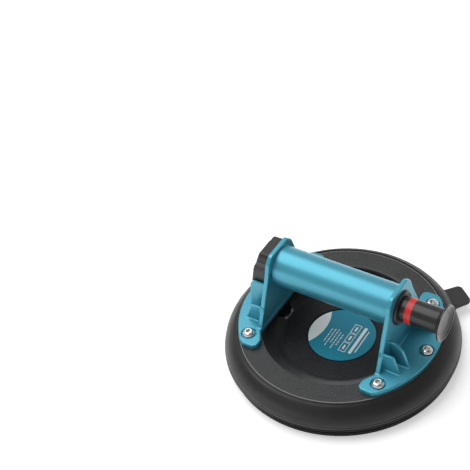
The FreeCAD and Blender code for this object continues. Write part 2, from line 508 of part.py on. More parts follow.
knob = turned("plunger_knob", [
    ("knob_in_x", "0"), ("knob_in_x", "knob_spigot"), ("knob_back+0.02", "knob_spigot"), ("knob_back+0.02", "knob_neck"),
    ("knob_back+0.6", "knob_neck"), ("knob_back+1.3", "knob_neck+1.3"), ("knob_back+1.9", "knob_rad-1.2"), ("knob_back+2.6", "knob_rad"),
    ("knob_front-0.6", "knob_rad"), ("knob_front", "knob_rad-0.6"), ("knob_front", "knob_rad-1.6"), ("knob_front-1.0", "knob_rad-4.2"),
    ("knob_front-1.6", "knob_rad-8.4"), ("knob_front-1.8", "0")])
turned("piston_ring", [
    ("pist_back", "pist_in"), ("pist_back", "pist_rad"), ("groove_back", "pist_rad"), ("groove_back", "pist_groove"),
    ("groove_front", "pist_groove"), ("groove_front", "pist_rad"), ("pist_front", "pist_rad"), ("pist_front", "pist_spig"),
    ("pist_spig_x", "pist_spig"), ("pist_spig_x", "pist_bore"), ("pist_back+3", "pist_bore")])
turned("piston_seal", [("seal_back", "seal_in"), ("seal_front", "seal_in"), ("seal_front", "seal_rad-0.4"), ("seal_back+1.6", "seal_rad-0.4"),
                       ("seal_back+0.8", "seal_rad"), ("seal_back", "seal_rad")])
seat = turned("spring_seat", [("seat_back", "exh_hole"), ("seat_front", "exh_hole"), ("seat_front", "seat_r"), ("seat_back", "seat_r")])
s = new_sketch(seat, "seat_ports", "YZ_Plane", "seat_back-1")
for k in range(4):
    a = math.radians(90 * k)
    cx, cy = round(math.cos(a)), round(math.sin(a))
    ring(s, "exh_port_r" if cx > 0 else ("-exh_port_r" if cx < 0 else "0"), "exh_port_r" if cy > 0 else ("-exh_port_r" if cy < 0 else "0"), "exh_port")
pocket(seat, s, "seat_front-seat_back+2", "seat_ports_cut", rev=True)
turned("exhaust_valve", [
    ("exh_stem_x", "0"), ("exh_stem_x", "exh_stem+0.7"), ("exh_stem_x+1.3", "exh_stem+0.7"), ("exh_stem_x+1.3", "exh_stem"),
    ("seat_front+0.02", "exh_stem"), ("seat_front+0.02", "exh_rad"), ("seat_front+0.5", "exh_rad"), ("exh_front", "exh_rad-2.5"),
    ("exh_front", "0")])

plug = turned("cylinder_end_plug", [
    ("-plug_back", "plug_sock"), ("-plug_sock_x", "plug_sock"), ("-plug_sock_x", "0"), ("post_end", "0"), ("post_end", "post_rad-0.8"),
    ("post_end-0.8", "post_rad"), ("-boss_x", "post_rad"), ("-boss_x", "boss_rad"), ("-plug_front", "boss_rad"), ("-plug_front", "plug_spig"),
    ("-oring_pos+1.1", "plug_spig"), ("-oring_pos+1.1", "oring_ring-oring_rad"), ("-oring_pos-1.1", "oring_ring-oring_rad"),
    ("-oring_pos-1.1", "plug_spig"), ("-plug_mid-0.02", "plug_spig"), ("-plug_mid-0.02", "plug_rad"), ("-plug_back", "plug_rad")])
s = new_sketch(plug, "plug_bore_round", "YZ_Plane", "-plug_sock_x-1")
ring(s, "0", "0", "plug_bore")
pocket(plug, s, "plug_sock_x+1-plug_cav_b", "plug_bore_cut", rev=True)
s = new_sketch(plug, "plug_ports", "YZ_Plane", "-plug_front+1")
for k in range(4):
    a = math.radians(90 * k)
    cx, cy = round(math.cos(a)), round(math.sin(a))
    ring(s, "plug_port_r-0.4" if cx > 0 else ("-plug_port_r+0.4" if cx < 0 else "0"), "plug_port_r-0.4" if cy > 0 else ("-plug_port_r+0.4" if cy < 0 else "0"), "0.8")
pocket(plug, s, "plug_cav_a-plug_front+0.6", "plug_ports_cut")
# crossing air ways between the middle bore and the four ports
for k, role in (("v", "XY_Plane"), ("w", "XZ_Plane")):
    s = new_sketch(plug, "plug_cross_" + k, role)
    ring(s, "-plug_cav_b-1.0", "0", "0.8")
    pocket(plug, s, "2*plug_port_r-0.8", "plug_cross_cut_" + k, mid=True)
seal = doc.addObject("Part::Torus", "end_plug_oring")
seal.Label = "end_plug_oring"
bind(seal, "Radius1", "oring_ring+0.05")
bind(seal, "Radius2", "oring_rad")
seal.Placement = FreeCAD.Placement(V(0, 0, 0), FreeCAD.Rotation(V(0, 1, 0), 90))
bind(seal, "Placement.Base.x", "-oring_pos")
bind(seal, "Placement.Base.z", "axis_z")
turned("inlet_valve", [("-plug_front+0.02", "flap_in"), ("-plug_front+0.02+flap_thk", "flap_in"), ("-plug_front+0.02+flap_thk", "flap_rad"),
                       ("-plug_front+0.02", "flap_rad")])
turned("suction_pipe", [("-pipe_a", "pipe_in"), ("-pipe_b", "pipe_in"), ("-pipe_b", "pipe_rad"), ("-pipe_a", "pipe_rad")])
turned("tie_washer", [("-wall_in-wall_thk-washer_thk", "pipe_rad+0.1"), ("-wall_in-wall_thk", "pipe_rad+0.1"),
                      ("-wall_in-wall_thk", "washer_rad"), ("-wall_in-wall_thk-washer_thk", "washer_rad")])
nut = new_body("tie_nut", "axis_z")
s = new_sketch(nut, "nut_outline", "YZ_Plane", "-wall_in-wall_thk-washer_thk-nut_thk")
rc = D["nut_af"] / math.sqrt(3.0)
corner = [(rc * math.cos(math.radians(60 * k)), rc * math.sin(math.radians(60 * k))) for k in range(6)]
for i in range(6):
    a, c = corner[i], corner[(i + 1) % 6]
    s.addGeometry(Part.LineSegment(V(a[0], a[1], 0), V(c[0], c[1], 0)), False)
s.addGeometry(Part.Circle(V(0, 0, 0), V(0, 0, 1), rc), True)
cons = [(Sketcher.Constraint("Coincident", 6, 3, -1, 1), None), (Sketcher.Constraint("Radius", 6, rc), ref("nut_af") + " * 0.57735027"),
        (Sketcher.Constraint("PointOnObject", 0, 1, -1), None)]
for i in range(6):
    cons.append((Sketcher.Constraint("Coincident", i, 2, (i + 1) % 6, 1), None))
    cons.append((Sketcher.Constraint("PointOnObject", i, 1, 6), None))
for i in range(5):
    cons.append((Sketcher.Constraint("Equal", i, i + 1), None))
for c, e in cons:
    k = s.addConstraint(c)
    if e is not None:
        s.setExpression("Constraints[%d]" % k, "(" + e + ") * 1 mm")
ring(s, "0", "0", "pipe_rad+0.12")
pad(nut, s, "nut_thk", "nut_pad")

# ---------------------------------------------------------------- air line inside the end cap
elbow = new_body("air_elbow")
s = new_sketch(elbow, "elbow_block", "XY_Plane", "elbow_low")
outline(s, [("-elbow_a", "-elbow_half"), ("-elbow_a", "elbow_half"), ("-elbow_b", "elbow_half"), ("-elbow_b", "-elbow_half")])
pad(elbow, s, "elbow_high-elbow_low", "elbow_pad")
s = new_sketch(elbow, "elbow_barb", "XY_Plane", "barb_low")
ring(s, "-elbow_leg_x", "0", "barb_rad")
pad(elbow, s, "elbow_low-barb_low+0.5", "elbow_barb_pad")
s = new_sketch(elbow, "elbow_socket", "YZ_Plane", "-elbow_a+1")
ring(s, "0", "axis_z", "pipe_rad+0.08")
pocket(elbow, s, "pipe_a-elbow_a+1.05", "elbow_socket_cut")
s = new_sketch(elbow, "elbow_way", "YZ_Plane", "-elbow_a")
ring(s, "0", "axis_z", "1.6")
pocket(elbow, s, "elbow_leg_x-elbow_a+1.2", "elbow_way_cut")
s = new_sketch(elbow, "elbow_down", "XY_Plane", "barb_low-1")
ring(s, "-elbow_leg_x", "0", "barb_bore")
pocket(elbow, s, "axis_z-barb_low+1", "elbow_down_cut", rev=True)

# hose: straight runs joined by tangent arcs, from the elbow down to the stem
def hose_shape(radius, ends):
    x1, x2 = -D["elbow_leg_x"], -D["well_x"]
    p = [V(x1, 0, D["hose_top"] + ends), V(x1, 0, D["hose_a"]), V(x2, 0, D["hose_b"]), V(x2, 0, D["hose_low"] - ends)]
    edges = []
    last = p[0]
    for i in (1, 2):
        u = (p[i - 1] - p[i]).normalize()
        w = (p[i + 1] - p[i]).normalize()
        turn = math.pi - u.getAngle(w)
        run = 0.45 * min((p[i] - p[i - 1]).Length, (p[i + 1] - p[i]).Length)
        rad = run / math.tan(turn / 2.0)
        a = p[i] + u * run
        c = p[i] + w * run
        bis = (u + w).normalize()
        mid = p[i] + bis * (rad / math.cos(turn / 2.0) - rad)
        edges.append(Part.LineSegment(last, a).toShape())
        edges.append(Part.Arc(a, mid, c).toShape())
        last = c
    edges.append(Part.LineSegment(last, p[3]).toShape())
    wire = Part.Wire(edges)
    circle = Part.Wire([Part.Circle(p[0], V(0, 0, 1), radius).toShape()])
    return wire.makePipeShell([circle], True, True), wire.Length


outer, hose_len = hose_shape(D["hose_rad"], 0.0)
inner, dummy = hose_shape(D["hose_in"], 1.0)
hose = doc.addObject("Part::Feature", "air_hose")
hose.Label = "air_hose"
hose.Shape = outer.cut(inner)
hose.Placement = FreeCAD.Placement()
print("hose length %.1f mm, volume ratio %.3f" % (hose_len, hose.Shape.Volume / (math.pi * (D["hose_rad"] ** 2 - D["hose_in"] ** 2) * hose_len)))

# ---------------------------------------------------------------- return spring
pitch = D["spring_pitch"]
length = D["spring_a"] + D["spring_b"] - 2 * D["wire_rad"]
helix = Part.makeHelix(pitch, length, D["spring_rad"])
start = V(D["spring_rad"], 0, 0)
tang = V(0, 2 * math.pi * D["spring_rad"], pitch).normalize()
wire_c = Part.Wire([Part.Circle(start, tang, D["wire_rad"]).toShape()])
coil = Part.Wire(helix).makePipeShell([wire_c], True, True)
spring = doc.addObject("Part::Feature", "return_spring")
spring.Label = "return_spring"
spring.Shape = coil
spring.Placement = FreeCAD.Placement(V(-D["spring_a"] + D["wire_rad"], 0, D["axis_z"]), FreeCAD.Rotation(V(0, 1, 0), 90))

# ---------------------------------------------------------------- end cap
cap = new_body("end_cap", None, True)
s = new_sketch(cap, "cap_outline", "YZ_Plane", "cap_x")
half = [("cap_low_y", "cap_low"), ("cap_low_ya", "cap_low_za"), ("cap_side_y", "cap_side_z"), ("cap_side_y", "cap_side_top"), ("cap_boss_y", "cap_boss_z"),
        ("cap_boss_ya", "cap_boss_za"), ("cap_notch_y", "cap_notch_z"), ("cap_dome_y", "cap_dome_z"), ("cap_dome_ya", "cap_top")]
outline(s, half + [("-" + y, z) for y, z in reversed(half)])
pad(cap, s, "cap_len", "cap_pad")
# sloping front
s = new_sketch(cap, "cap_front", "XZ_Plane")
outline(s, [("cap_ref_x+3.2", "cap_ref_z-16.0"), ("cap_ref_x+3.7", "cap_low-2"), ("cap_ref_x+12", "cap_low-2"), ("cap_ref_x+12", "cap_top+2"),
            ("cap_ref_x-3.8", "cap_top+2")])
pocket(cap, s, "60.0", "cap_front_cut", mid=True)
slope = math.radians(D["cap_slope"])


def slanted(body, name, depth):
    sk = body.newObject("Sketcher::SketchObject", name)
    sk.AttachmentSupport = [(origin_plane(body, "YZ_Plane"), "")]
    sk.MapMode = "FlatFace"
    sk.AttachmentOffset = FreeCAD.Placement(V(0, D["cap_ref_z"], D["cap_ref_x"]), FreeCAD.Rotation(V(1, 0, 0), -D["cap_slope"]))
    sk.setExpression("AttachmentOffset.Base.y", "(Dim.cap_ref_z + (" + ref(depth) + ") * sin(Dim.cap_slope * 1 deg)) * 1 mm")
    sk.setExpression("AttachmentOffset.Base.z", "(Dim.cap_ref_x + (" + ref(depth) + ") * cos(Dim.cap_slope * 1 deg)) * 1 mm")
    return sk


def hexagon(grow):
    g = "+" + grow if not grow.startswith("-") else grow
    right = [("hexp_low_y" + g, "-hexp_low" + ("-" + grow if not grow.startswith("-") else "+" + grow[1:])),
             ("hexp_mid_y" + g, "-hexp_lowm"), ("hexp_mid_y" + g, "hexp_mid"), ("hexp_top_y" + g, "hexp_top" + g)]
    return right + [("-" + y if not ("+" in y or "-" in y) else "-" + y.replace("+", "~").replace("-", "+").replace("~", "-"), z)
                    for y, z in reversed(right)]


s = slanted(cap, "cap_hex", "1")
outline(s, hexagon("hexp_gap"))
pocket(cap, s, "hexp_deep+1", "cap_hex_cut")
# hollow inside, stepped to follow the front
for k, (za, zb, depth) in enumerate((("cav_low", "cav_top", "cav_a"), ("cav_low", "cav_mid", "cav_b"))):
    s = new_sketch(cap, "cap_hollow_%d" % k, "YZ_Plane", "cap_x-1")
    outline(s, [("-cav_y", za), ("cav_y", za), ("cav_y", zb), ("-cav_y", zb)])
    pocket(cap, s, depth + "-cap_x+1", "cap_hollow_cut_%d" % k, rev=True)
# way out for the hose
s = new_sketch(cap, "cap_hose_way", "XY_Plane", "cap_low-1")
ring(s, "elbow_leg_x", "0", "hose_rad+0.5")
pocket(cap, s, "cav_low-cap_low+2", "cap_hose_cut", rev=True)
# recessed screw holes
s = new_sketch(cap, "cap_screw_head", "YZ_Plane", "scr_seat")
ring(s, "scr_y", "scr_z", "scr_hole")
ring(s, "-scr_y", "scr_z", "scr_hole")
pocket(cap, s, "20.0", "cap_screw_head_cut", rev=True)
s = new_sketch(cap, "cap_screw_way", "YZ_Plane", "cap_x-1")
ring(s, "scr_y", "scr_z", "scr_clear")
ring(s, "-scr_y", "scr_z", "scr_clear")
pocket(cap, s, "scr_seat-cap_x+2", "cap_screw_way_cut", rev=True)

panel = new_body("end_cap_panel", None, True)
s = slanted(panel, "panel_hex", "-hexp_deep")
outline(s, hexagon("0"))
pad(panel, s, "hexp_deep+hexp_out", "panel_pad")
nx, nz = math.cos(slope), math.sin(slope)
face = (D["cap_ref_x"] * nx + D["cap_ref_z"] * nz) + D["hexp_out"]
fillet(panel, "panel_chamfer", "hexp_cham", lambda e: near(abs(e.Vertexes[0].X) * nx + e.Vertexes[0].Z * nz, face) and
       near(abs(e.Vertexes[-1].X) * nx + e.Vertexes[-1].Z * nz, face), kind="Chamfer")

# ---------------------------------------------------------------- fasteners, as groups of equal solids
def compound(name, shapes):
    f = doc.addObject("Part::Feature", name)
    f.Label = name
    f.Shape = Part.makeCompound(shapes)
    f.Placement = FreeCAD.Placement()
    return f


def hex_prism(af, height, base, direction):
    r = af / math.sqrt(3.0)
    p = [V(r * math.cos(math.radians(60 * k)), r * math.sin(math.radians(60 * k)), 0) for k in range(7)]
    solid = Part.Face(Part.makePolygon(p)).extrude(V(0, 0, height))
    solid.Placement = FreeCAD.Placement(base, FreeCAD.Rotation(V(0, 0, 1), direction))
    return solid


def button_screw():
    """Button head screw, head seated at z = 0, shank pointing down."""
    hr, hh, sr = D["head_rad"], D["head_hgt"], D["shank_rad"]
    seat = D["plate_z"] + D["base_thk"] - D["cbore_deep"]
    ln = seat - D["shank_low"]
    a = V(0, 0, -ln)
    edges = [Part.LineSegment(V(0, 0, -ln), V(sr - 0.5, 0, -ln)), Part.LineSegment(V(sr - 0.5, 0, -ln), V(sr, 0, -ln + 0.5)),
             Part.LineSegment(V(sr, 0, -ln + 0.5), V(sr, 0, 0)), Part.LineSegment(V(sr, 0, 0), V(hr, 0, 0)),
             Part.LineSegment(V(hr, 0, 0), V(hr, 0, 0.7)), Part.Arc(V(hr, 0, 0.7), V(hr * 0.80, 0, hh * 0.80), V(hr * 0.5, 0, hh)),
             Part.LineSegment(V(hr * 0.5, 0, hh), V(0, 0, hh)), Part.LineSegment(V(0, 0, hh), a)]
    prof = Part.Face(Part.Wire([e.toShape() for e in edges]))
    body = prof.revolve(V(0, 0, 0), V(0, 0, 1), 360)
    sock = hex_prism(2 * D["hex_r"] * math.cos(math.radians(30)), D["hex_deep"] + 1, V(0, 0, hh - D["hex_deep"]), V(0, 0, 1))
    return body.cut(sock)


seat_z = D["plate_z"] + D["base_thk"] - D["cbore_deep"]
screws = []
inserts = []
for i, (px, py) in enumerate(POINTS):
    sc = button_screw()
    sc.rotate(V(0, 0, 0), V(0, 0, 1), 17 * i)
    sc.translate(V(num(px), num(py), seat_z))
    screws.append(sc)
    top = D["plate_z"]
    sleeve_o = Part.makeCylinder(D["ins_rad"], D["ins_len"], V(num(px), num(py), top - D["ins_len"]))
    inserts.append(sleeve_o.cut(Part.makeCylinder(D["ins_bore"], D["ins_len"] + 2, V(num(px), num(py), top - D["ins_len"] - 1))))
compound("bracket_screws", screws)
compound("threaded_inserts", inserts)

small = []
for sy in (1, -1):
    base = V(-D["scr_seat"], sy * D["scr_y"], D["scr_z"])
    hd = Part.makeCylinder(D["scr_head"], D["scr_head_h"], base, V(-1, 0, 0))
    hd = hd.makeFillet(0.6, [e for e in hd.Edges if near(lo(e, 0), base.x - D["scr_head_h"]) and near(hi(e, 0), base.x - D["scr_head_h"])])
    sh = Part.makeCylinder(D["scr_rad"], D["scr_seat"] - D["scr_end"], base, V(1, 0, 0))
    solid = hd.fuse(sh).removeSplitter()
    solid = solid.cut(hex_prism(2 * D["scr_hex"], D["scr_hex_deep"] + 1, V(base.x - D["scr_head_h"] + D["scr_hex_deep"], base.y, base.z), V(-1, 0, 0)))
    small.append(solid)
compound("end_cap_screws", small)

# ---------------------------------------------------------------- check and write
doc.recompute()
NODES = ["rubber_pad", "release_tab", "backing_plate", "label_disc", "pump_end_bracket", "cap_end_bracket", "bracket_screws",
         "threaded_inserts", "handle_tube", "gland_collar", "wiper_seal", "plunger_sleeve", "indicator_ring", "plunger_knob",
         "end_cap", "end_cap_panel", "end_cap_screws", "pump_cylinder", "piston_ring", "piston_seal", "spring_seat", "exhaust_valve",
         "return_spring", "cylinder_end_plug", "end_plug_oring", "inlet_valve", "suction_pipe", "tie_washer", "tie_nut", "air_elbow",
         "air_hose", "port_stem", "port_oring", "port_filter", "filter_retainer"]
bad = [o.Name for o in doc.Objects if "Invalid" in o.State or "Error" in o.State]
if bad:
    raise RuntimeError("failed objects: " + ", ".join(bad))
os.makedirs("parts", exist_ok=True)
shapes = {}
for name in NODES:
    found = [o for o in doc.Objects if o.Label == name]
    if len(found) != 1:
        raise RuntimeError("label used %d times: %s" % (len(found), name))
    sh = found[0].Shape
    if sh.isNull() or not sh.isValid():
        raise RuntimeError("bad shape: " + name)
    shapes[name] = sh
for name, sh in shapes.items():
    sh.exportStep("parts/" + name + ".step")
    bb = sh.BoundBox
    print("%-18s solids %d vol %9.1f  x %.2f..%.2f y %.2f..%.2f z %.2f..%.2f" % (name, len(sh.Solids), sh.Volume, bb.XMin, bb.XMax, bb.YMin, bb.YMax, bb.ZMin, bb.ZMax))
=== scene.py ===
import math

import bmesh
import bpy
import numpy as np
from mathutils import Matrix, Vector


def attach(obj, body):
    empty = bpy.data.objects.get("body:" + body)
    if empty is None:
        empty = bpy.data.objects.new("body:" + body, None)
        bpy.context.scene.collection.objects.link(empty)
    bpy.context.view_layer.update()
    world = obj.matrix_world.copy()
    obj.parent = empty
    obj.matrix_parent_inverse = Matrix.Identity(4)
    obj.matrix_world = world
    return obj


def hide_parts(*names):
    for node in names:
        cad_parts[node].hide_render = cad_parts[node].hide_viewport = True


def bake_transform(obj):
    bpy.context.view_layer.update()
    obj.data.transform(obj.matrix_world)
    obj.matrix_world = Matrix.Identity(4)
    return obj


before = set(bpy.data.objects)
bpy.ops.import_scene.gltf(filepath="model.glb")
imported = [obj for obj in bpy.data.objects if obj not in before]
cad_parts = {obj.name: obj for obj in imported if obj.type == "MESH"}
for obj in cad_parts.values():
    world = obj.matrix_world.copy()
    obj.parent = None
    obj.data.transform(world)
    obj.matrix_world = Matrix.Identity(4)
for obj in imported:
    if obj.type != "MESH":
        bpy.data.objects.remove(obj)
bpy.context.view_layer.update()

MM = 0.001
AXIS_Z = 74.9          # height of the handle axis
scene = bpy.context.scene

# ------------------------------------------------------------------ camera
cam_data = bpy.data.cameras.new("camera")
cam = bpy.data.objects.new("camera", cam_data)
scene.collection.objects.link(cam)
cam_data.sensor_width = 36.0
cam_data.lens = 96.235
cam_data.clip_start = 0.01
cam_data.clip_end = 50.0
cam.matrix_world = Matrix([[0.838504, -0.295891, 0.457558, 0.391363],
                           [0.533416, 0.617192, -0.578396, -0.620263],
                           [-0.111259, 0.729056, 0.675351, 0.815285],
                           [0.0, 0.0, 0.0, 1.0]])
scene.camera = cam


# ------------------------------------------------------------------ small tools
def arc_corner(p, a, b, r, step=12.0):
    """Points of a rounded corner at p between neighbours a and b."""
    p, a, b = (np.array(q, float) for q in (p, a, b))
    u, w = a - p, b - p
    lu, lw = np.linalg.norm(u), np.linalg.norm(w)
    u, w = u / lu, w / lw
    c = float(np.clip(u @ w, -1, 1))
    ang = math.acos(c)
    if r <= 0 or math.pi - ang < math.radians(2.0):
        return [tuple(p)]
    t = min(r / math.tan(ang / 2), 0.48 * lu, 0.48 * lw)
    r = t * math.tan(ang / 2)
    bis = (u + w) / np.linalg.norm(u + w)
    centre = p + bis * (r / math.sin(ang / 2))
    s, e = p + u * t - centre, p + w * t - centre
    turn = math.pi - ang
    n = max(2, int(math.ceil(math.degrees(turn) / step)))
    sign = 1.0 if s[0] * e[1] - s[1] * e[0] > 0 else -1.0
    out = []
    for k in range(n + 1):
        q = sign * turn * k / n
        out.append((centre[0] + s[0] * math.cos(q) - s[1] * math.sin(q), centre[1] + s[0] * math.sin(q) + s[1] * math.cos(q)))
    return out


def rounded(points, r=0.25, closed=True, step=12.0):
    """Polyline with its corners rounded; a point is (x, y) or (x, y, radius)."""
    out, n = [], len(points)
    for i, p in enumerate(points):
        rad = p[2] if len(p) > 2 else r
        if not closed and i in (0, n - 1):
            out.append((p[0], p[1]))
            continue
        out += arc_corner(p[:2], points[i - 1][:2], points[(i + 1) % n][:2], rad, step)
    return out


def spline(points, n=8):
    """Smooth curve through points, with both ends kept."""
    P = [np.array(p, float) for p in points]
    P = [2 * P[0] - P[1]] + P + [2 * P[-1] - P[-2]]
    out = []
    for i in range(1, len(P) - 2):
        for k in range(n):
            t = k / n
            a, b, c, d = P[i - 1], P[i], P[i + 1], P[i + 2]
            out.append(tuple(0.5 * (2 * b + (c - a) * t + (2 * a - 5 * b + 4 * c - d) * t * t + (3 * b - a - 3 * c + d) * t ** 3)))
    out.append(tuple(P[-2]))
    return out


def new_object(name, mesh, mat=None):
    o = bpy.data.objects.new(name, mesh)
    scene.collection.objects.link(o)
    if mat is not None:
        mesh.materials.clear()
        mesh.materials.append(mat)
    return o


def mesh_quads(name, verts, quads, normals=None):
    """Mesh from arrays, verts in millimetres."""
    me = bpy.data.meshes.new(name)
    me.vertices.add(len(verts))
    me.vertices.foreach_set("co", (np.asarray(verts, np.float64) * MM).astype(np.float32).ravel())
    loops = np.asarray(quads, np.int32).ravel()
    k = quads.shape[1]
    me.loops.add(len(loops))
    me.loops.foreach_set("vertex_index", loops)
    me.polygons.add(len(quads))
    me.polygons.foreach_set("loop_start", np.arange(0, len(loops), k, dtype=np.int32))
    me.update(calc_edges=True)
    me.polygons.foreach_set("use_smooth", np.ones(len(quads), bool))
    if normals is not None:
        me.normals_split_custom_set_from_vertices(np.asarray(normals, np.float32).tolist())
    me.update()
    return me


def tidy(me, angle=35.0, weighted=True, obj=None):
    """Merges doubles, turns faces outwards and shades smooth up to an angle."""
    bm = bmesh.new()
    bm.from_mesh(me)
    bmesh.ops.remove_doubles(bm, verts=bm.verts, dist=2e-7)
    bmesh.ops.dissolve_degenerate(bm, dist=1e-8, edges=bm.edges)
    bmesh.ops.recalc_face_normals(bm, faces=bm.faces)
    for f in bm.faces:
        f.smooth = True
    bm.to_mesh(me)
    bm.free()
    me.set_sharp_from_angle(angle=math.radians(angle))
    me.update()


def weigh(o):
    m = o.modifiers.new("weighted_normal", "WEIGHTED_NORMAL")
    m.keep_sharp = True
    m.weight = 50
    m.mode = "FACE_AREA"


def revolve(name, profile, seg=192, axis="z", mat=None, closed=True, angle=35.0):
    """Turned piece. axis z: profile is (radius, z). axis x: (x, radius) about the handle axis."""
    P = np.array(profile, float)
    n = len(P)
    th = np.linspace(0, 2 * math.pi, seg, endpoint=False)
    c, s = np.cos(th)[:, None], np.sin(th)[:, None]
    if axis == "z":
        V = np.stack([P[None, :, 0] * c, P[None, :, 0] * s, np.repeat(P[None, :, 1], seg, 0)], -1)
    else:
        V = np.stack([np.repeat(P[None, :, 0], seg, 0), P[None, :, 1] * s, P[None, :, 1] * c + AXIS_Z], -1)
    V = V.reshape(-1, 3)
    i = np.arange(seg)[:, None]
    m = n if closed else n - 1
    j = np.arange(m)[None, :]
    a, b = i * n + j, i * n + (j + 1) % n
    i2 = (i + 1) % seg
    d, e = i2 * n + j, i2 * n + (j + 1) % n
    quads = np.stack([a, b, e, d], -1).reshape(-1, 4)
    me = mesh_quads(name, V, quads)
    tidy(me, angle)
    o = new_object(name, me, mat)
    weigh(o)
    return o


def boolean(o, cutter, op="DIFFERENCE", angle=35.0):
    """Cuts o with cutter, exactly, and removes the cutter."""
    for m in list(o.modifiers):
        o.modifiers.remove(m)
    m = o.modifiers.new("cut", "BOOLEAN")
    m.operation = op
    m.solver = "EXACT"
    m.object = cutter
    dg = bpy.context.evaluated_depsgraph_get()
    dg.update()
    me = bpy.data.meshes.new_from_object(o.evaluated_get(dg))
    old = o.data
    mats = [x for x in old.materials]
    o.modifiers.remove(m)
    o.data = me
    me.materials.clear()
    for x in mats:
        me.materials.append(x)
    me.polygons.foreach_set("material_index", np.zeros(len(me.polygons), np.int32))
    bpy.data.objects.remove(cutter)
    bm = bmesh.new()
    bm.from_mesh(me)
    bmesh.ops.remove_doubles(bm, verts=bm.verts, dist=2e-7)
    for f in bm.faces:
        f.smooth = True
    bm.to_mesh(me)
    bm.free()
    me.set_sharp_from_angle(angle=math.radians(angle))
    weigh(o)
    return o


# ------------------------------------------------------------------ distance fields, for cast and moulded shapes
def poly_sd(u, v, P):
    """Signed distance from (u, v) to a closed polygon, negative inside."""
    shape = np.broadcast(u, v).shape
    best = np.full(shape, 1e9)
    inside = np.zeros(shape, bool)
    n = len(P)
    for i in range(n):
        ax, ay = P[i]
        bx, by = P[(i + 1) % n]
        ex, ey = bx - ax, by - ay
        l2 = ex * ex + ey * ey
        if l2 < 1e-12:
            continue
        wx, wy = u - ax, v - ay
        t = np.clip((wx * ex + wy * ey) / l2, 0, 1)
        d = (wx - ex * t) ** 2 + (wy - ey * t) ** 2
        np.minimum(best, d, out=best)
        c1, c2, c3 = v >= ay, v < by, ex * wy > ey * wx
        inside ^= (c1 & c2 & c3) | (~c1 & ~c2 & ~c3)
    out = np.sqrt(best)
    out[inside] *= -1
    return out


def both(a, b, r=0.0):
    """Overlap of two shapes, its outer edge rounded by r."""
    if r <= 0:
        return np.maximum(a, b)
    return np.minimum(-r, np.maximum(a, b)) + np.hypot(np.maximum(a + r, 0), np.maximum(b + r, 0))


def join(a, b, r=0.0):
    """Union of two shapes, the corner between them filled by radius r."""
    if r <= 0:
        return np.minimum(a, b)
    return np.maximum(r, np.minimum(a, b)) - np.hypot(np.maximum(r - a, 0), np.maximum(r - b, 0))


def cut(a, b, r=0.0):
    return both(a, -b, r)


def slab(w, centre, half):
    return np.abs(w - centre) - half


def field_mesh(name, f, lo, hi, h, mat=None, steps=2):
    """Closed smooth mesh of the zero surface of f, in millimetres."""
    xs = np.arange(lo[0], hi[0] + h, h)
    ys = np.arange(lo[1], hi[1] + h, h)
    zs = np.arange(lo[2], hi[2] + h, h)
    F = np.broadcast_to(f(xs[:, None, None], ys[None, :, None], zs[None, None, :]), (len(xs), len(ys), len(zs))).astype(np.float32)
    F = np.where(F == 0, 1e-6, F)
    ins = F < 0
    nx, ny, nz = F.shape
    cnt = np.zeros((nx - 1, ny - 1, nz - 1), np.int8)
    for i in (0, 1):
        for j in (0, 1):
            for k in (0, 1):
                cnt += ins[i:nx - 1 + i, j:ny - 1 + j, k:nz - 1 + k]
    mixed = (cnt > 0) & (cnt < 8)
    idx = np.full(mixed.shape, -1, np.int64)
    nv = int(mixed.sum())
    idx[mixed] = np.arange(nv)
    acc = np.zeros((nv, 3))
    num = np.zeros(nv)
    quads = []
    for ax in range(3):
        sl0 = [slice(None)] * 3
        sl1 = [slice(None)] * 3
        sl0[ax] = slice(0, -1)
        sl1[ax] = slice(1, None)
        A, B = F[tuple(sl0)], F[tuple(sl1)]
        cross = (A < 0) != (B < 0)
        o1, o2 = (ax + 1) % 3, (ax + 2) % 3
        g = np.argwhere(cross)
        keep = (g[:, o1] > 0) & (g[:, o2] > 0) & (g[:, o1] < F.shape[o1] - 1) & (g[:, o2] < F.shape[o2] - 1)
        g = g[keep]
        a, b = A[tuple(g.T)].astype(float), B[tuple(g.T)].astype(float)
        t = a / (a - b)
        pt = g.astype(float)
        pt[:, ax] += t
        cells = []
        for d1, d2 in ((0, 0), (1, 0), (1, 1), (0, 1)):
            q = g.copy()
            q[:, o1] -= d1
            q[:, o2] -= d2
            ci = idx[tuple(q.T)]
            cells.append(ci)
            for c in range(3):
                acc[:, c] += np.bincount(ci, weights=pt[:, c], minlength=nv)
            num += np.bincount(ci, minlength=nv)
        Q = np.stack(cells, -1)
        flip = a > 0
        Q[~flip] = Q[~flip][:, ::-1]
        quads.append(Q)
    V = acc / np.maximum(num, 1)[:, None] * h + np.array(lo, float)
    quads = np.concatenate(quads)[:, ::-1]
    e = 0.03

    def grad(V):
        x, y, z = V[:, 0], V[:, 1], V[:, 2]
        f0 = f(x, y, z)
        g = np.stack([f(x + e, y, z) - f0, f(x, y + e, z) - f0, f(x, y, z + e) - f0], -1) / e
        return f0, g

    for _ in range(steps):
        f0, g = grad(V)
        n2 = np.maximum((g ** 2).sum(1), 0.05)
        move = -(f0 / n2)[:, None] * g
        ln = np.linalg.norm(move, axis=1)
        move *= np.minimum(1.0, 0.6 * h / np.maximum(ln, 1e-9))[:, None]
        V = V + move
    x, y, z = V[:, 0], V[:, 1], V[:, 2]
    N = np.stack([f(x + e, y, z) - f(x - e, y, z), f(x, y + e, z) - f(x, y - e, z), f(x, y, z + e) - f(x, y, z - e)], -1)
    N /= np.maximum(np.linalg.norm(N, axis=1), 1e-9)[:, None]
    me = mesh_quads(name, V, quads, N)
    return new_object(name, me, mat) if mat is not None else me


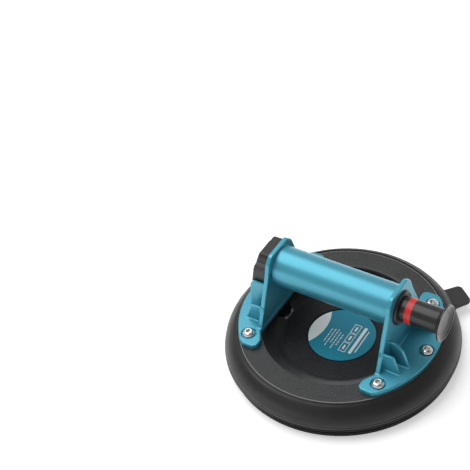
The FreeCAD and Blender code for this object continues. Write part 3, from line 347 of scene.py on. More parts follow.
# ------------------------------------------------------------------ materials
def material(name, base, metallic=0.0, rough=0.5, spec=0.5):
    m = bpy.data.materials.new(name)
    m.use_nodes = True
    nt = m.node_tree
    b = nt.nodes["Principled BSDF"]
    b.inputs["Base Color"].default_value = (*base, 1)
    b.inputs["Metallic"].default_value = metallic
    b.inputs["Roughness"].default_value = rough
    b.inputs["Specular IOR Level"].default_value = spec
    return m, nt, b


def coords(nt):
    return nt.nodes.new("ShaderNodeTexCoord").outputs["Object"]


def noise(nt, vec, scale, detail=3.0, rough=0.5):
    n = nt.nodes.new("ShaderNodeTexNoise")
    n.inputs["Scale"].default_value = scale
    n.inputs["Detail"].default_value = detail
    n.inputs["Roughness"].default_value = rough
    nt.links.new(vec, n.inputs["Vector"])
    return n.outputs["Fac"]


def ramp(nt, fac, a, b, lo=0.0, hi=1.0):
    """Maps fac from lo..hi to a..b."""
    n = nt.nodes.new("ShaderNodeMapRange")
    n.inputs["From Min"].default_value = lo
    n.inputs["From Max"].default_value = hi
    n.inputs["To Min"].default_value = a
    n.inputs["To Max"].default_value = b
    nt.links.new(fac, n.inputs["Value"])
    return n.outputs["Result"]


def mix(nt, fac, a, b):
    n = nt.nodes.new("ShaderNodeMix")
    n.data_type = "RGBA"
    nt.links.new(fac, n.inputs["Factor"])
    n.inputs["A"].default_value = (*a, 1)
    n.inputs["B"].default_value = (*b, 1)
    return n.outputs["Result"]


def bump(nt, b, height, dist, strength=1.0, chain=None):
    n = nt.nodes.new("ShaderNodeBump")
    n.inputs["Strength"].default_value = strength
    n.inputs["Distance"].default_value = dist
    nt.links.new(height, n.inputs["Height"])
    if chain is not None:
        nt.links.new(chain, n.inputs["Normal"])
    nt.links.new(n.outputs["Normal"], b.inputs["Normal"])
    return n.outputs["Normal"]


def textured(name, dark, light, rough, grain, grain_mm, depth_mm, spec=0.5, metallic=0.0, rough_var=0.08):
    """Plastic or rubber: cloudy colour, uneven gloss and a moulded grain."""
    m, nt, b = material(name, dark, metallic, rough, spec)
    v = coords(nt)
    big = noise(nt, v, 40.0, 4.0, 0.6)
    fine = noise(nt, v, 1000.0 / grain_mm, 3.0, 0.6)
    both_ = nt.nodes.new("ShaderNodeMath")
    both_.operation = "MULTIPLY_ADD"
    nt.links.new(fine, both_.inputs[0])
    both_.inputs[1].default_value = grain
    nt.links.new(big, both_.inputs[2])
    nt.links.new(mix(nt, ramp(nt, both_.outputs[0], 0.0, 1.0, 0.35 + 0.35 * grain, 0.65 + 0.65 * grain), dark, light), b.inputs["Base Color"])
    nt.links.new(ramp(nt, big, rough - rough_var, rough + rough_var, 0.3, 0.7), b.inputs["Roughness"])
    bump(nt, b, fine, depth_mm * MM, 1.0)
    return m


def band(nt, vec, r0, r1, z0, z1, soft, cx=0.0):
    """1 where the object-space radius about (cx, 0) is r0..r1 and the height z0..z1 (metres), fading over soft."""
    if cx:
        mv = nt.nodes.new("ShaderNodeVectorMath")
        mv.operation = "SUBTRACT"
        nt.links.new(vec, mv.inputs[0])
        mv.inputs[1].default_value = (cx, 0.0, 0.0)
        vec = mv.outputs["Vector"]
    sp = nt.nodes.new("ShaderNodeSeparateXYZ")
    nt.links.new(vec, sp.inputs[0])
    flat = nt.nodes.new("ShaderNodeCombineXYZ")
    nt.links.new(sp.outputs["X"], flat.inputs["X"])
    nt.links.new(sp.outputs["Y"], flat.inputs["Y"])
    ln = nt.nodes.new("ShaderNodeVectorMath")
    ln.operation = "LENGTH"
    nt.links.new(flat.outputs[0], ln.inputs[0])
    out = None
    for val, lo, hi in ((ln.outputs["Value"], r0, r1), (sp.outputs["Z"], z0, z1)):
        for edge, up in ((lo, True), (hi, False)):
            r = ramp(nt, val, 0.0 if up else 1.0, 1.0 if up else 0.0, edge - soft, edge + soft)
            if out is None:
                out = r
            else:
                mu = nt.nodes.new("ShaderNodeMath")
                mu.operation = "MULTIPLY"
                nt.links.new(out, mu.inputs[0])
                nt.links.new(r, mu.inputs[1])
                out = mu.outputs[0]
    return out


def tint(nt, b, fac, color):
    """Blends the base colour towards color where fac is 1."""
    src = b.inputs["Base Color"].links[0].from_socket
    n = nt.nodes.new("ShaderNodeMix")
    n.data_type = "RGBA"
    nt.links.new(fac, n.inputs["Factor"])
    nt.links.new(src, n.inputs["A"])
    n.inputs["B"].default_value = (*color, 1)
    nt.links.new(n.outputs["Result"], b.inputs["Base Color"])


def side_mask(nt, vec, angle, lo, hi):
    """0..1 as the direction from the axis turns towards angle (degrees); lo and hi are cosines."""
    sp = nt.nodes.new("ShaderNodeSeparateXYZ")
    nt.links.new(vec, sp.inputs[0])
    flat = nt.nodes.new("ShaderNodeCombineXYZ")
    nt.links.new(sp.outputs["X"], flat.inputs["X"])
    nt.links.new(sp.outputs["Y"], flat.inputs["Y"])
    unit = nt.nodes.new("ShaderNodeVectorMath")
    unit.operation = "NORMALIZE"
    nt.links.new(flat.outputs[0], unit.inputs[0])
    dot = nt.nodes.new("ShaderNodeVectorMath")
    dot.operation = "DOT_PRODUCT"
    nt.links.new(unit.outputs["Vector"], dot.inputs[0])
    dot.inputs[1].default_value = (math.cos(math.radians(angle)), math.sin(math.radians(angle)), 0.0)
    return ramp(nt, dot.outputs["Value"], 0.0, 1.0, lo, hi)


def times(nt, a, b):
    mu = nt.nodes.new("ShaderNodeMath")
    mu.operation = "MULTIPLY"
    for i, q in enumerate((a, b)):
        if isinstance(q, float):
            mu.inputs[i].default_value = q
        else:
            nt.links.new(q, mu.inputs[i])
    return mu.outputs[0]


def shader(m):
    return m.node_tree, m.node_tree.nodes["Principled BSDF"]


M = {}
M["rubber"] = textured("cup_rubber", (0.010, 0.010, 0.011), (0.016, 0.016, 0.017), 0.42, 1.2, 0.9, 0.022, spec=0.43)
nt, b = shader(M["rubber"])
v = coords(nt)
# painted shade: dark ring in the seam groove between the backing plate and the rubber
tint(nt, b, band(nt, v, 0.0870, 0.0897, 0.0285, 0.0310, 0.00012), (0.004, 0.004, 0.004))
# painted shade: darkens the lower outer face of the rim above the bead
tint(nt, b, band(nt, v, 0.0980, 0.1013, 0.0134, 0.0200, 0.00140), (0.003, 0.003, 0.003))
# painted highlight: light thin line along the lower edge of the bead
tint(nt, b, band(nt, v, 0.1007, 0.1030, 0.0120, 0.0131, 0.00015), (0.062, 0.062, 0.062))
# painted shade: darkens the sealing lip under the rim
tint(nt, b, band(nt, v, 0.0900, 0.1000, -0.0010, 0.0056, 0.00030), (0.009, 0.009, 0.010))
# painted shade: a darker, less glossy copy of the cup rubber for the lip under the rim
M["lip"] = textured("lip_rubber_painted_shade", (0.005, 0.005, 0.005), (0.009, 0.009, 0.009), 0.52, 1.2, 0.9, 0.022, spec=0.12)
M["tab"] = textured("tab_rubber", (0.024, 0.024, 0.024), (0.032, 0.032, 0.032), 0.50, 0.8, 0.9, 0.020, spec=0.40)
M["plate"] = textured("plate_black", (0.016, 0.017, 0.017), (0.067, 0.067, 0.067), 0.58, 2.4, 1.1, 0.060, spec=0.36)
nt, b = shader(M["plate"])
v = coords(nt)
# painted shade: darkens the bowl floor round the label, under the handle
tint(nt, b, times(nt, band(nt, v, 0.0310, 0.0500, 0.0130, 0.0150, 0.00300), 0.90), (0.005, 0.007, 0.009))
# painted shade: the bowl's cove and ledge are darker on the left side
tint(nt, b, times(nt, band(nt, v, 0.0508, 0.0676, 0.0138, 0.0285, 0.00100), side_mask(nt, v, 165.0, -0.15, 0.35)), (0.006, 0.006, 0.007))
# painted light: the bowl's ledge is lighter on the front side, about -53 degrees
tint(nt, b, times(nt, band(nt, v, 0.0535, 0.0676, 0.0150, 0.0285, 0.00100), side_mask(nt, v, -53.0, 0.72, 0.98)), (0.100, 0.101, 0.102))
# painted highlight: light line on the fillet at the bowl's edge
tint(nt, b, band(nt, v, 0.0678, 0.0692, 0.0284, 0.0310, 0.00025), (0.085, 0.086, 0.086))
# painted highlight: light ring on the plate's outer edge fillet at the seam
tint(nt, b, band(nt, v, 0.0871, 0.0882, 0.0280, 0.0310, 0.00012), (0.230, 0.230, 0.228))
# painted highlight: light ring on top of the port lip round the well
tint(nt, b, band(nt, v, 0.0103, 0.0119, 0.0144, 0.0156, 0.00012, -0.0625), (0.300, 0.300, 0.296))
# painted shade: dark ring on the wall of the label recess
tint(nt, b, band(nt, v, 0.0288, 0.0306, 0.0120, 0.01385, 0.00010), (0.004, 0.004, 0.004))
# painted shade: a darker, less glossy copy of the plate black for the bowl floor
M["bowl"] = textured("bowl_black_painted_shade", (0.008, 0.010, 0.012), (0.032, 0.034, 0.036), 0.60, 2.4, 1.1, 0.055, spec=0.18)
M["plastic"] = textured("satin_black_plastic", (0.012, 0.012, 0.012), (0.018, 0.018, 0.018), 0.30, 0.4, 0.30, 0.006, spec=0.5)
M["knob"] = textured("knob_black_plastic", (0.009, 0.009, 0.009), (0.014, 0.014, 0.014), 0.20, 0.4, 0.50, 0.004, spec=0.35)
nt, b = shader(M["knob"])
sp = nt.nodes.new("ShaderNodeSeparateXYZ")
nt.links.new(coords(nt), sp.inputs[0])
cx_ = nt.nodes.new("ShaderNodeMath")
cx_.operation = "SUBTRACT"
nt.links.new(sp.outputs["Z"], cx_.inputs[0])
cx_.inputs[1].default_value = AXIS_Z * MM
cb = nt.nodes.new("ShaderNodeCombineXYZ")
nt.links.new(sp.outputs["Y"], cb.inputs["X"])
nt.links.new(cx_.outputs[0], cb.inputs["Y"])
nt.links.new(sp.outputs["X"], cb.inputs["Z"])
# painted highlight: light ring on the rim of the knob's flange
tint(nt, b, band(nt, cb.outputs[0], 0.0146, 0.0160, 0.0972, 0.0990, 0.00020), (0.300, 0.300, 0.296))
# painted reflection: lightens the knob's front dish
tint(nt, b, band(nt, cb.outputs[0], -0.0010, 0.0143, 0.0930, 0.0985, 0.00030), (0.030, 0.030, 0.030))
M["cap"] = textured("cap_black_plastic", (0.014, 0.014, 0.014), (0.022, 0.022, 0.022), 0.40, 0.6, 0.60, 0.016, spec=0.45)
M["seal"] = textured("seal_rubber", (0.010, 0.010, 0.010), (0.016, 0.016, 0.016), 0.45, 0.4, 0.3, 0.004)
M["white"] = textured("white_plastic", (0.70, 0.70, 0.67), (0.80, 0.80, 0.77), 0.42, 0.4, 0.4, 0.006)
M["hose"] = textured("hose_black", (0.012, 0.012, 0.013), (0.018, 0.018, 0.019), 0.38, 0.4, 0.3, 0.005)
M["red"] = textured("red_mark", (0.58, 0.018, 0.020), (0.72, 0.030, 0.034), 0.36, 0.3, 0.3, 0.004)


def blue_paint():
    m, nt, b = material("blue_metallic_paint", (0.058, 0.36, 0.50), 0.50, 0.34, 0.5)
    v = coords(nt)
    big = noise(nt, v, 25.0, 3.0, 0.5)
    flake = noise(nt, v, 5200.0, 2.0, 0.6)
    col = mix(nt, ramp(nt, flake, 0.0, 1.0, 0.32, 0.68), (0.047, 0.306, 0.412), (0.066, 0.377, 0.500))
    nt.links.new(col, b.inputs["Base Color"])
    nt.links.new(ramp(nt, big, 0.34, 0.40, 0.3, 0.7), b.inputs["Roughness"])
    peel = noise(nt, v, 900.0, 2.0, 0.5)
    bump(nt, b, peel, 0.006 * MM, 1.0)
    b.inputs["Coat Weight"].default_value = 0.35
    b.inputs["Coat Roughness"].default_value = 0.30
    return m


M["blue"] = blue_paint()


def metal(name, base, rough, streak=0.06):
    m, nt, b = material(name, base, 1.0, rough)
    v = coords(nt)
    n = noise(nt, v, 700.0, 4.0, 0.65)
    nt.links.new(ramp(nt, n, max(0.04, rough - streak), rough + streak, 0.3, 0.7), b.inputs["Roughness"])
    nt.links.new(mix(nt, ramp(nt, n, 0.0, 1.0, 0.3, 0.7), tuple(0.88 * c for c in base), base), b.inputs["Base Color"])
    bump(nt, b, noise(nt, v, 2500.0, 3.0, 0.6), 0.002 * MM, 1.0)
    return m


M["steel"] = metal("bright_steel", (0.80, 0.79, 0.77), 0.17)
M["alu"] = metal("drawn_aluminium", (0.80, 0.81, 0.82), 0.30)
M["brass"] = metal("turned_brass", (0.74, 0.56, 0.27), 0.26)
m, nt, b = material("felt_filter", (0.62, 0.61, 0.57), 0.0, 0.95, 0.2)
b.inputs["Sheen Weight"].default_value = 0.3
fz = noise(nt, coords(nt), 2600.0, 5.0, 0.75)
nt.links.new(mix(nt, ramp(nt, fz, 0.0, 1.0, 0.3, 0.7), (0.50, 0.49, 0.45), (0.72, 0.71, 0.66)), b.inputs["Base Color"])
bump(nt, b, fz, 0.12 * MM, 1.0)
M["felt"] = m


def printed(name, dark, light, rough):
    m, nt, b = material(name, dark, 0.0, rough, 0.3)
    v = coords(nt)
    n = noise(nt, v, 1500.0, 3.0, 0.6)
    nt.links.new(mix(nt, ramp(nt, n, 0.0, 1.0, 0.3, 0.7), dark, light), b.inputs["Base Color"])
    nt.links.new(ramp(nt, noise(nt, v, 60.0, 3.0, 0.6), rough - 0.05, rough + 0.08, 0.3, 0.7), b.inputs["Roughness"])
    bump(nt, b, n, 0.004 * MM, 1.0)
    return m


M["label"] = printed("label_teal", (0.009, 0.235, 0.345), (0.015, 0.270, 0.392), 0.55)
M["print"] = printed("label_white", (0.84, 0.87, 0.87), (0.92, 0.94, 0.94), 0.38)

PIECES = []


def place(o, body, nodes=()):
    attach(o, body)
    if nodes:
        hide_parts(*nodes)
    PIECES.append(o)
    return o


# ------------------------------------------------------------------ rubber cup
rim = spline([(100.75, 13.7), (100.6, 16.0), (98.9, 20.6), (96.0, 24.8), (92.4, 28.1), (89.9, 29.5)], 6)
bead = rounded([(98.9, 6.5), (100.3, 7.6, 1.0), (101.55, 9.6, 1.2), (101.55, 12.1, 1.1), (100.95, 12.9, 0.35), (100.6, 13.3, 0.3), (100.75, 13.7)], 0.3, closed=False)
under = []
for r in (40.0, 62.0, 78.0):
    under += [(r - 1.6, 6.0, 0.3), (r - 1.35, 5.1, 0.3), (r - 0.25, 5.1, 0.3), (r, 6.0, 0.3)]
prof = rounded([(0, 6.0)] + under + [(88.6, 6.0, 1.5), (92.0, 1.6, 1.0), (93.6, 0.0, 0.25), (98.1, 0.0, 0.35), (98.6, 0.6, 0.5), (98.9, 4.6, 0.4),
                                      (97.0, 4.9, 0.25), (97.0, 5.9, 0.3), bead[0]], 0.3, closed=False)[:-1]
prof += bead[:-1] + rim
prof += rounded([rim[-1], (89.5, 29.75, 0.3), (89.2, 30.2, 0.35), (88.45, 30.2, 0.35), (88.3, 29.6, 0.15), (88.3, 25.0, 0.2), (85.5, 25.0, 0.2), (85.5, 9.0, 0.3), (0, 9.0)], 0.2, closed=False)[1:]
cup = revolve("cup_rubber_skin", prof, 320, "z", M["rubber"], closed=False)
hole = revolve("hole", rounded([(0, 0.0), (9.4 + 2.4, 0.0), (9.4 + 0.5, 5.6, 0.3), (9.4, 6.1, 0.3), (9.4, 12.0), (0, 12.0)], 0, closed=False), 96, "z", None, closed=False)
hole.data.transform(Matrix.Translation((-0.0625, 0, 0)))
boolean(cup, hole)
# painted shade: faces below 11.9 mm take the darker lip copy of the rubber
cup.data.materials.append(M["lip"])
for poly in cup.data.polygons:
    if poly.center.z < 0.0119:
        poly.material_index = 1
place(cup, "root", ["rubber_pad"])

# ------------------------------------------------------------------ backing plate
prof = rounded([(0, 9.03), (85.2, 9.03, 0.5), (85.2, 25.25, 0.3), (87.95, 25.25, 0.3), (88.0, 29.5, 0.45), (68.3, 29.5, 2.0), (66.75, 21.7, 3.4),
                (57.2, 18.3, 5.0), (51.4, 14.0, 6.0), (30.45, 14.0, 0.3), (30.35, 13.05, 0.12), (28.6, 13.05, 0.1), (28.6, 13.4, 0.1), (0, 13.4)], 0.3, closed=False, step=6.0)
plate = revolve("backing_plate_shell", prof, 320, "z", M["plate"], closed=False)
lipped = revolve("lip", rounded([(9.8, 11.0), (11.9, 11.0), (11.7, 14.6, 0.3), (11.35, 15.0, 0.3), (10.65, 15.0, 0.3), (10.3, 14.6, 0.3), (9.8, 11.0)], 0.3, closed=False), 96, "z", None, closed=False)
lipped.data.transform(Matrix.Translation((-0.0625, 0, 0)))
boolean(plate, lipped, "UNION")
well = revolve("well", rounded([(0, 12.5), (10.3, 12.5, 0.5), (10.3, 30.0), (0, 30.0)], 0, closed=False), 96, "z", None, closed=False)
well.data.transform(Matrix.Translation((-0.0625, 0, 0)))
boolean(plate, well)
# painted shade: the bowl floor round the label takes the darker copy of the plate black
plate.data.materials.append(M["bowl"])
for poly in plate.data.polygons:
    if 0.0302 < math.hypot(poly.center.x, poly.center.y) < 0.0516 and 0.0125 < poly.center.z < 0.0148:
        poly.material_index = 1
place(plate, "root", ["backing_plate"])

# ------------------------------------------------------------------ brackets
def bracket_field(cap_side):
    arc = [(87.5 * math.cos(math.radians(a)), 87.5 * math.sin(math.radians(a))) for a in np.linspace(-14, 41.6, 24)]
    foot = [(54.0, -20.0)] + arc[:-1] + rounded([arc[-2], (arc[-1][0], arc[-1][1], 2.0), (61.5, 60.8, 1.8), (51.4, 60.8, 1.8), (48.2, 58.2, 1.8), (48.2, 52.0, 2.0),
                                                  (50.3, 48.0, 2.5), (54.0, 42.5, 2.0), (54.0, 0.0)], 2.0, closed=False, step=15.0)[1:-1]
    wall = rounded([(-20.0, 30.5, 0), (42.0, 30.5, 0), (40.5, 34.0, 0), (35.0, 46.7, 8), (28.8, 62.0, 8), (22.7, 76.0, 8), (18.6, 89.4, 5.0), (12.5, 95.2, 5.0), (-20.0, 95.2, 0)],
                   0, step=12.0)
    out = rounded([(55.0, 31.5, 0), (73.9, 31.5, 0), (72.9, 34.5, 0), (67.4, 51.5, 2.0), (55.0, 51.5, 0)], 0)
    if cap_side:
        inn = rounded([(55.0, 31.5, 0), (76.0, 31.5, 0), (75.8, 34.5, 0), (73.8, 51.0, 3), (72.4, 66.0, 2), (69.5, 70.0, 2), (55.0, 70.0, 0)], 0)
    else:
        inn = rounded([(55.0, 31.5, 0), (77.2, 31.5, 0), (76.2, 34.5, 0), (70.7, 50.8, 3), (64.2, 57.3, 3), (55.0, 57.3, 0)], 0)

    def f(x, y, z):
        X = -x if cap_side else x
        a = np.abs(y)
        d2 = poly_sd(X, a, foot)
        d = both(d2, slab(z, 31.5, 3.0), 1.0)
        d = both(d, 29.5 - z, 0.35)
        w2 = poly_sd(a, z, wall)
        d = join(d, both(w2, slab(X, 56.0, 2.0), 0.75), 1.4)
        d = join(d, both(poly_sd(X, z, out), slab(a, 32.4, 1.3), 0.7), 1.2)
        d = join(d, both(poly_sd(X, z, inn), slab(a, 22.4, 1.3), 0.7), 1.2)
        R = np.hypot(y, z - AXIS_Z)
        ring = np.maximum(np.maximum(R - 15.4, 13.85 - R), np.maximum(51.0 - X, X - 55.0))
        d = np.minimum(d, ring)
        if cap_side:
            d = cut(d, R - 5.2, 0.2)
            d = cut(d, np.hypot(a - 16.9, z - 77.5) - 2.1, 0.2)
            d = cut(d, np.maximum(np.hypot(X - 62.5, y) - 4.2, z - 40.0), 0.2)
        else:
            d = cut(d, R - 13.85, 0.2)
        for px, py in ((61.5, 49.4), (80.2, 0.0)):
            q = np.hypot(X - px, a - py)
            d = cut(d, np.maximum(q - 6.4, 33.9 - z), 0.25)
            d = cut(d, np.maximum(np.maximum(q - 6.4, 4.95 - q), 33.0 - z), 0.1)
            d = cut(d, np.maximum(q - 3.4, z - 40.0), 0.2)
        return d
    return f


H = 0.7
for side in (False, True):
    lo, hi = (47.0, -62.0, 28.6), (88.6, 62.0, 96.4)
    if side:
        lo, hi = (-88.6, -62.0, 28.6), (-47.0, 62.0, 96.4)
    o = field_mesh("cap_side_casting" if side else "pump_side_casting", bracket_field(side), lo, hi, H, M["blue"])
    place(o, "root", ["cap_end_bracket" if side else "pump_end_bracket"])

# ------------------------------------------------------------------ screws
HEX = [(2.31 * math.cos(math.radians(60 * k)), 2.31 * math.sin(math.radians(60 * k))) for k in range(6)]
dome = rounded([(0.0, -1.0, 0), (5.25, -1.0, 0), (5.25, 0.75, 0.5), (4.9, 1.65, 1.5), (4.0, 2.75, 1.5), (2.9, 3.3, 0.5), (0.0, 3.3, 0)], 0)


def screw_field(x, y, z):
    r = np.hypot(x, y)
    head = np.maximum(poly_sd(r, z, [(-6.0, -1.0)] + dome[1:-1] + [(-6.0, 3.3)]), -z)
    shank = np.maximum(r - 3.0, np.maximum(z - 0.5, -13.9 - z))
    d = np.minimum(both(head, -z, 0.15), shank)
    sock = np.maximum(poly_sd(x, y, HEX), 1.3 - z)
    return cut(d, sock, 0.22)


screw = field_mesh("button_screw", screw_field, (-5.6, -5.6, -14.2), (5.6, 5.6, 3.7), 0.22)
screw.materials.append(M["steel"])
spots = [(61.5, 49.4), (61.5, -49.4), (-61.5, 49.4), (-61.5, -49.4), (80.2, 0.0), (-80.2, 0.0)]
for i, (px, py) in enumerate(spots):
    o = new_object("bracket_screw_%d" % (i + 1), screw)
    o.matrix_world = Matrix.Translation((px * MM, py * MM, 33.9 * MM)) @ Matrix.Rotation(math.radians(17 * i), 4, "Z")
    place(o, "root", ["bracket_screws"] if i == 0 else [])

# ------------------------------------------------------------------ handle and plunger
tube = revolve("handle_tube_painted", rounded([(-53.98, 15.6), (53.98, 15.6), (53.98, 17.4), (-53.98, 17.4)], 0.3), 192, "x", M["blue"])
place(tube, "root", ["handle_tube"])
collar = revolve("gland_collar_moulded", rounded([(31.4, 11.0), (58.85, 11.0, 0.1), (58.85, 12.95, 0.1), (60.25, 12.95, 0.2), (60.42, 13.15, 0.2), (60.42, 14.0, 0.3), (59.5, 15.0, 0.4),
                                                  (58.02, 15.0, 0.15), (58.02, 12.2, 0.1), (31.4, 12.2)], 0.2), 160, "x", M["plastic"])
place(collar, "root", ["gland_collar"])
sleeve = revolve("plunger_sleeve_moulded", rounded([(30.05, 8.9), (93.5, 8.9), (93.5, 10.6, 0.1), (93.0, 10.9, 0.3), (70.83, 10.9, 0.12), (70.83, 10.27, 0.05), (65.07, 10.27, 0.05),
                                                    (65.07, 10.9, 0.12), (30.05, 10.9, 0.2)], 0.2), 160, "x", M["plastic"])
place(sleeve, "plunger", ["plunger_sleeve"])
ring = revolve("red_ring", rounded([(65.1, 10.3), (70.8, 10.3), (70.8, 10.9), (65.1, 10.9)], 0.12), 160, "x", M["red"])
place(ring, "plunger", ["indicator_ring"])
knob = revolve("plunger_knob_moulded", rounded([
    (85.0, 0.0), (85.0, 8.8), (93.52, 8.8, 0.1), (93.52, 10.75, 0.15), (94.2, 11.0, 2.0), (95.4, 12.8, 2.0), (95.8, 14.9, 0.5), (96.1, 15.4, 0.3), (97.5, 15.4, 0.4), (97.75, 15.1, 0.3),
    (97.7, 14.6, 0.25), (97.0, 13.6, 1.2), (95.6, 9.0, 6.0), (94.9, 0.0)], 0.2, closed=False, step=9.0), 160, "x", M["knob"], closed=False)
place(knob, "plunger", ["plunger_knob"])

# ------------------------------------------------------------------ end cap
SLOPE = math.radians(11.31)
NX, NZ = math.cos(SLOPE), math.sin(SLOPE)


def hexagon(g):
    half = [(8.6 + g, -16.4 - g), (12.4 + g, -9.6), (12.4 + g, 7.7), (8.7 + g, 14.6 + g)]
    return rounded([(y, s, 0.8) for y, s in half] + [(-y, s, 0.8) for y, s in reversed(half)], 0.8)


cap_half = [(15.2, 54.8, 1.5), (18.8, 57.6, 2.0), (20.7, 68.0, 3.0), (20.7, 81.5, 2.0), (19.6, 84.6, 1.2), (17.4, 86.0, 1.0), (15.4, 86.2, 1.2), (13.6, 91.2, 1.2), (11.2, 93.6, 1.8)]
cap_outline = rounded([(-20.0, 54.8, 0)] + cap_half + [(-20.0, 93.6, 0)], 1.0, step=15.0)


def cap_field(x, y, z):
    X = -x
    a = np.abs(y)
    depth = (X - 71.0) * NX + (z - 75.0) * NZ
    s = -(X - 71.0) * NZ + (z - 75.0) * NX
    d = both(poly_sd(a, z, cap_outline), depth, 1.3)
    d = both(d, 58.02 - X, 0.25)
    d = cut(d, np.maximum(poly_sd(y, s, hexagon(0.55)), -1.3 - depth), 0.3)
    d = cut(d, np.maximum(np.hypot(a - 16.9, z - 77.5) - 3.1, 63.0 - X), 0.4)
    d = cut(d, np.hypot(a - 16.9, z - 77.5) - 2.1, 0.1)
    room = np.maximum(np.maximum(a - 10.6, 58.6 - z), np.minimum(np.maximum(z - 88.6, X - 66.4), np.maximum(z - 82.0, X - 69.0)))
    d = cut(d, room, 0.2)
    d = cut(d, np.maximum(np.hypot(X - 65.4, y) - 4.0, z - 60.0), 0.3)
    return d


o = field_mesh("end_cap_moulded", cap_field, (-76.4, -21.6, 53.8), (-57.4, 21.6, 94.6), 0.33, M["cap"])
place(o, "root", ["end_cap"])


def panel_field(x, y, z):
    X = -x
    depth = (X - 71.0) * NX + (z - 75.0) * NZ
    s = -(X - 71.0) * NZ + (z - 75.0) * NX
    p = poly_sd(y, s, hexagon(0.0))
    d = both(p, depth - 2.0, 0.45)
    d = both(d, (p + depth - 1.5) * 0.7071, 0.3)
    return both(d, -1.2 - depth, 0.15)


o = field_mesh("end_cap_panel_moulded", panel_field, (-79.0, -13.2, 57.4), (-65.6, 13.2, 91.6), 0.36, M["cap"])
place(o, "root", ["end_cap_panel"])

# ------------------------------------------------------------------ label
disc = revolve("label_teal_disc", rounded([(0, 13.42), (29.25, 13.42), (29.35, 13.7, 0.1), (29.1, 13.92, 0.1), (0, 13.92)], 0.1, closed=False), 192, "z", M["label"], closed=False)
place(disc, "root", ["label_disc"])


def flat_piece(name, outlines, z, thick, mat):
    """Thin printed shape: outlines are closed polygons in millimetres."""
    bm = bmesh.new()
    for pts in outlines:
        vs = [bm.verts.new((x * MM, y * MM, (z + thick) * MM)) for x, y in pts]
        f = bm.faces.new(vs)
        side = [bm.verts.new((x * MM, y * MM, z * MM)) for x, y in pts]
        n = len(pts)
        for i in range(n):
            bm.faces.new((vs[i], side[i], side[(i + 1) % n], vs[(i + 1) % n]))
        bm.faces.new(list(reversed(side)))
    bmesh.ops.recalc_face_normals(bm, faces=bm.faces)
    me = bpy.data.meshes.new(name)
    bm.to_mesh(me)
    bm.free()
    return new_object(name, me, mat)


def strip(x0, y0, x1, y1, w, turn=0.0):
    d = np.array([x1 - x0, y1 - y0])
    n = np.array([-d[1], d[0]]) / np.linalg.norm(d) * w / 2
    return [(x0 + n[0], y0 + n[1]), (x0 - n[0], y0 - n[1]), (x1 - n[0], y1 - n[1]), (x1 + n[0], y1 + n[1])]


def arc_pts(cx, cy, r, a0, a1, n):
    return [(cx + r * math.cos(math.radians(a0 + (a1 - a0) * k / n)), cy + r * math.sin(math.radians(a0 + (a1 - a0) * k / n))) for k in range(n + 1)]


def frame_bars(x0, y0, x1, y1, w):
    """Four thin bars round a rectangle."""
    return [strip(x0 - w / 2, y0, x1 + w / 2, y0, w), strip(x0 - w / 2, y1, x1 + w / 2, y1, w),
            strip(x0, y0 + w / 2, x0, y1 - w / 2, w), strip(x1, y0 + w / 2, x1, y1 - w / 2, w)]


def turned_pts(polys, deg):
    c, s_ = math.cos(math.radians(deg)), math.sin(math.radians(deg))
    return [[(x * c - y * s_, x * s_ + y * c) for x, y in p] for p in polys]


# pale lens: the disc's own edge outside, an arc of radius 38 towards the middle
LENS_A, LENS_B, LENS_R, FIELD_R = 136.5, 221.0, 40.0, 28.9
pa = np.array([FIELD_R * math.cos(math.radians(LENS_A)), FIELD_R * math.sin(math.radians(LENS_A))])
pb = np.array([FIELD_R * math.cos(math.radians(LENS_B)), FIELD_R * math.sin(math.radians(LENS_B))])
mid, half = (pa + pb) / 2, np.linalg.norm(pa - pb) / 2
out_dir = mid / np.linalg.norm(mid)
centre = mid + out_dir * math.sqrt(LENS_R ** 2 - half ** 2)
q0 = math.degrees(math.atan2(*(pb - centre)[::-1]))
q1 = math.degrees(math.atan2(*(pa - centre)[::-1]))
turn = (q1 - q0 + 180.0) % 360.0 - 180.0
lens = arc_pts(0, 0, FIELD_R, LENS_A, LENS_B, 40) + arc_pts(centre[0], centre[1], LENS_R, q0, q0 + turn, 40)[1:-1]
o = flat_piece("label_white_field", [lens], 13.9, 0.05, M["print"])
place(o, "root", [])
ink = []
dashes = [(0.9, 2.6, 1.4, 3.4, 1.8, 2.2), (2.8, 1.2, 3.6, 1.6, 2.4, 1.4, 3.0), (1.6, 3.2, 2.0, 1.0, 2.8, 2.0), (3.0, 1.4, 2.2, 3.4, 1.2, 2.6, 1.6), (2.0, 2.6, 1.0, 3.0, 1.8)]
for k, (x, y, row) in enumerate(zip((-10.5, -7.6, -4.7, -1.8, 1.1), (-13.5, -17.0, -12.0, -18.0, -13.0), dashes)):
    for d in row:
        ink.append(strip(x, y, x, y + d, 0.75))
        y += d + 0.75
for y in (-16.5, -5.3, 5.9):
    ink += frame_bars(5.2, y, 11.2, y + 10.0, 0.55)
ink += [strip(8.2, -14.0, 8.2, -9.0, 1.6), strip(8.2, -2.8, 8.2, 2.2, 1.6), strip(8.2, 8.4, 8.2, 13.4, 1.6)]
ink += [strip(15.6, -16.0, 15.6, 16.0, 2.6), strip(19.4, -13.0, 19.4, 13.0, 0.9)]
o = flat_piece("label_ruled_lines", ink, 13.9, 0.045, M["print"])
place(o, "root", [])

# ------------------------------------------------------------------ release tab
TA = math.radians(52.0)
CA, SA = math.cos(TA), math.sin(TA)
tab_out = rounded([(98.5, -13.0, 0), (101.3, -12.8, 0.5), (103.2, -11.7, 1.6), (117.9, -10.9, 4.5), (117.9, 10.9, 4.5), (103.2, 11.7, 1.6), (101.3, 12.8, 0.5), (98.5, 13.0, 0)], 0)


def tab_field(x, y, z):
    u = x * CA + y * SA
    v = -x * SA + y * CA
    return both(poly_sd(u, v, tab_out), slab(z, 11.35, 1.35), 0.6)


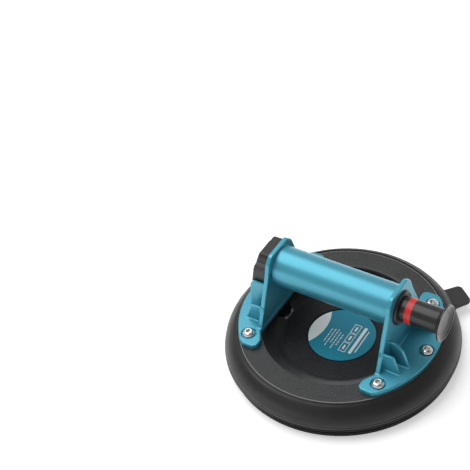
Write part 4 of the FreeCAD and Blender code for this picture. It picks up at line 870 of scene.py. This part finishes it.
th = math.radians(52)
box_x = sorted([98 * CA - 14 * SA, 119 * CA + 14 * SA])
box_y = sorted([98 * SA - 14 * CA, 119 * SA + 14 * CA])
o = field_mesh("release_tab_rubber", tab_field, (box_x[0], box_y[0], 9.4), (box_x[1], box_y[1], 13.4), 0.45, M["tab"])
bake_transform(o)
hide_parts("release_tab")
PIECES.append(o)

# ------------------------------------------------------------------ CAD pieces that stay, with their finishes
FINISH = {"threaded_inserts": "brass", "wiper_seal": "seal", "end_cap_screws": "steel", "pump_cylinder": "alu", "piston_ring": "white", "piston_seal": "seal",
          "spring_seat": "white", "exhaust_valve": "seal", "return_spring": "steel", "cylinder_end_plug": "white", "end_plug_oring": "seal", "inlet_valve": "seal",
          "suction_pipe": "alu", "tie_washer": "steel", "tie_nut": "steel", "air_elbow": "plastic", "air_hose": "hose", "port_stem": "plastic", "port_oring": "seal",
          "port_filter": "felt", "filter_retainer": "plastic"}
for n, m in FINISH.items():
    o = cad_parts[n]
    if not o.material_slots:
        o.data.materials.append(M[m])
    for s in o.material_slots:
        s.material = M[m]

# ------------------------------------------------------------------ floor, light
bm = bmesh.new()
bmesh.ops.create_grid(bm, x_segments=8, y_segments=8, size=3.0)
me = bpy.data.meshes.new("floor")
bm.to_mesh(me)
bm.free()
m, nt, b = material("floor_white", (0.95, 0.95, 0.95), 0.0, 0.7, 0.2)
b.inputs["Emission Color"].default_value = (1.0, 1.0, 1.0, 1)
b.inputs["Emission Strength"].default_value = 0.43
floor = new_object("floor", me, m)

world = bpy.data.worlds.new("studio")
scene.world = world
world.use_nodes = True
wt = world.node_tree
bg = wt.nodes["Background"]
sep = wt.nodes.new("ShaderNodeSeparateXYZ")
wt.links.new(wt.nodes.new("ShaderNodeTexCoord").outputs["Generated"], sep.inputs[0])
terms = [ramp(wt, sep.outputs["Y"], 0.38, 0.05, -0.9, 0.1), ramp(wt, sep.outputs["Y"], 0.0, 0.52, 0.0, 0.9), ramp(wt, sep.outputs["X"], 0.20, 0.0, -0.9, 0.3),
         ramp(wt, sep.outputs["X"], 0.0, 0.12, 0.1, 0.9)]
for t in terms[1:]:
    add = wt.nodes.new("ShaderNodeMath")
    add.operation = "ADD"
    wt.links.new(terms[0], add.inputs[0])
    wt.links.new(t, add.inputs[1])
    terms[0] = add.outputs[0]
bg.inputs["Color"].default_value = (1.0, 1.0, 1.0, 1)
wt.links.new(terms[0], bg.inputs["Strength"])


def area(name, loc, target, size, watts, size_y=None, color=(1, 1, 1)):
    d = bpy.data.lights.new(name, "AREA")
    d.energy = watts
    d.color = color
    d.shape = "RECTANGLE" if size_y else "SQUARE"
    d.size = size
    if size_y:
        d.size_y = size_y
    o = bpy.data.objects.new(name, d)
    scene.collection.objects.link(o)
    o.location = loc
    o.rotation_euler = (Vector(target) - Vector(loc)).to_track_quat("-Z", "Y").to_euler()
    return o


area("key_softbox", (-0.42, 0.02, 0.94), (0, 0, 0.03), 1.05, 8.8, 1.00)
area("front_fill", (-0.45, -1.05, 0.09), (0, 0, 0.05), 0.90, 0.92, 0.15)
scene.view_settings.view_transform = "Standard"
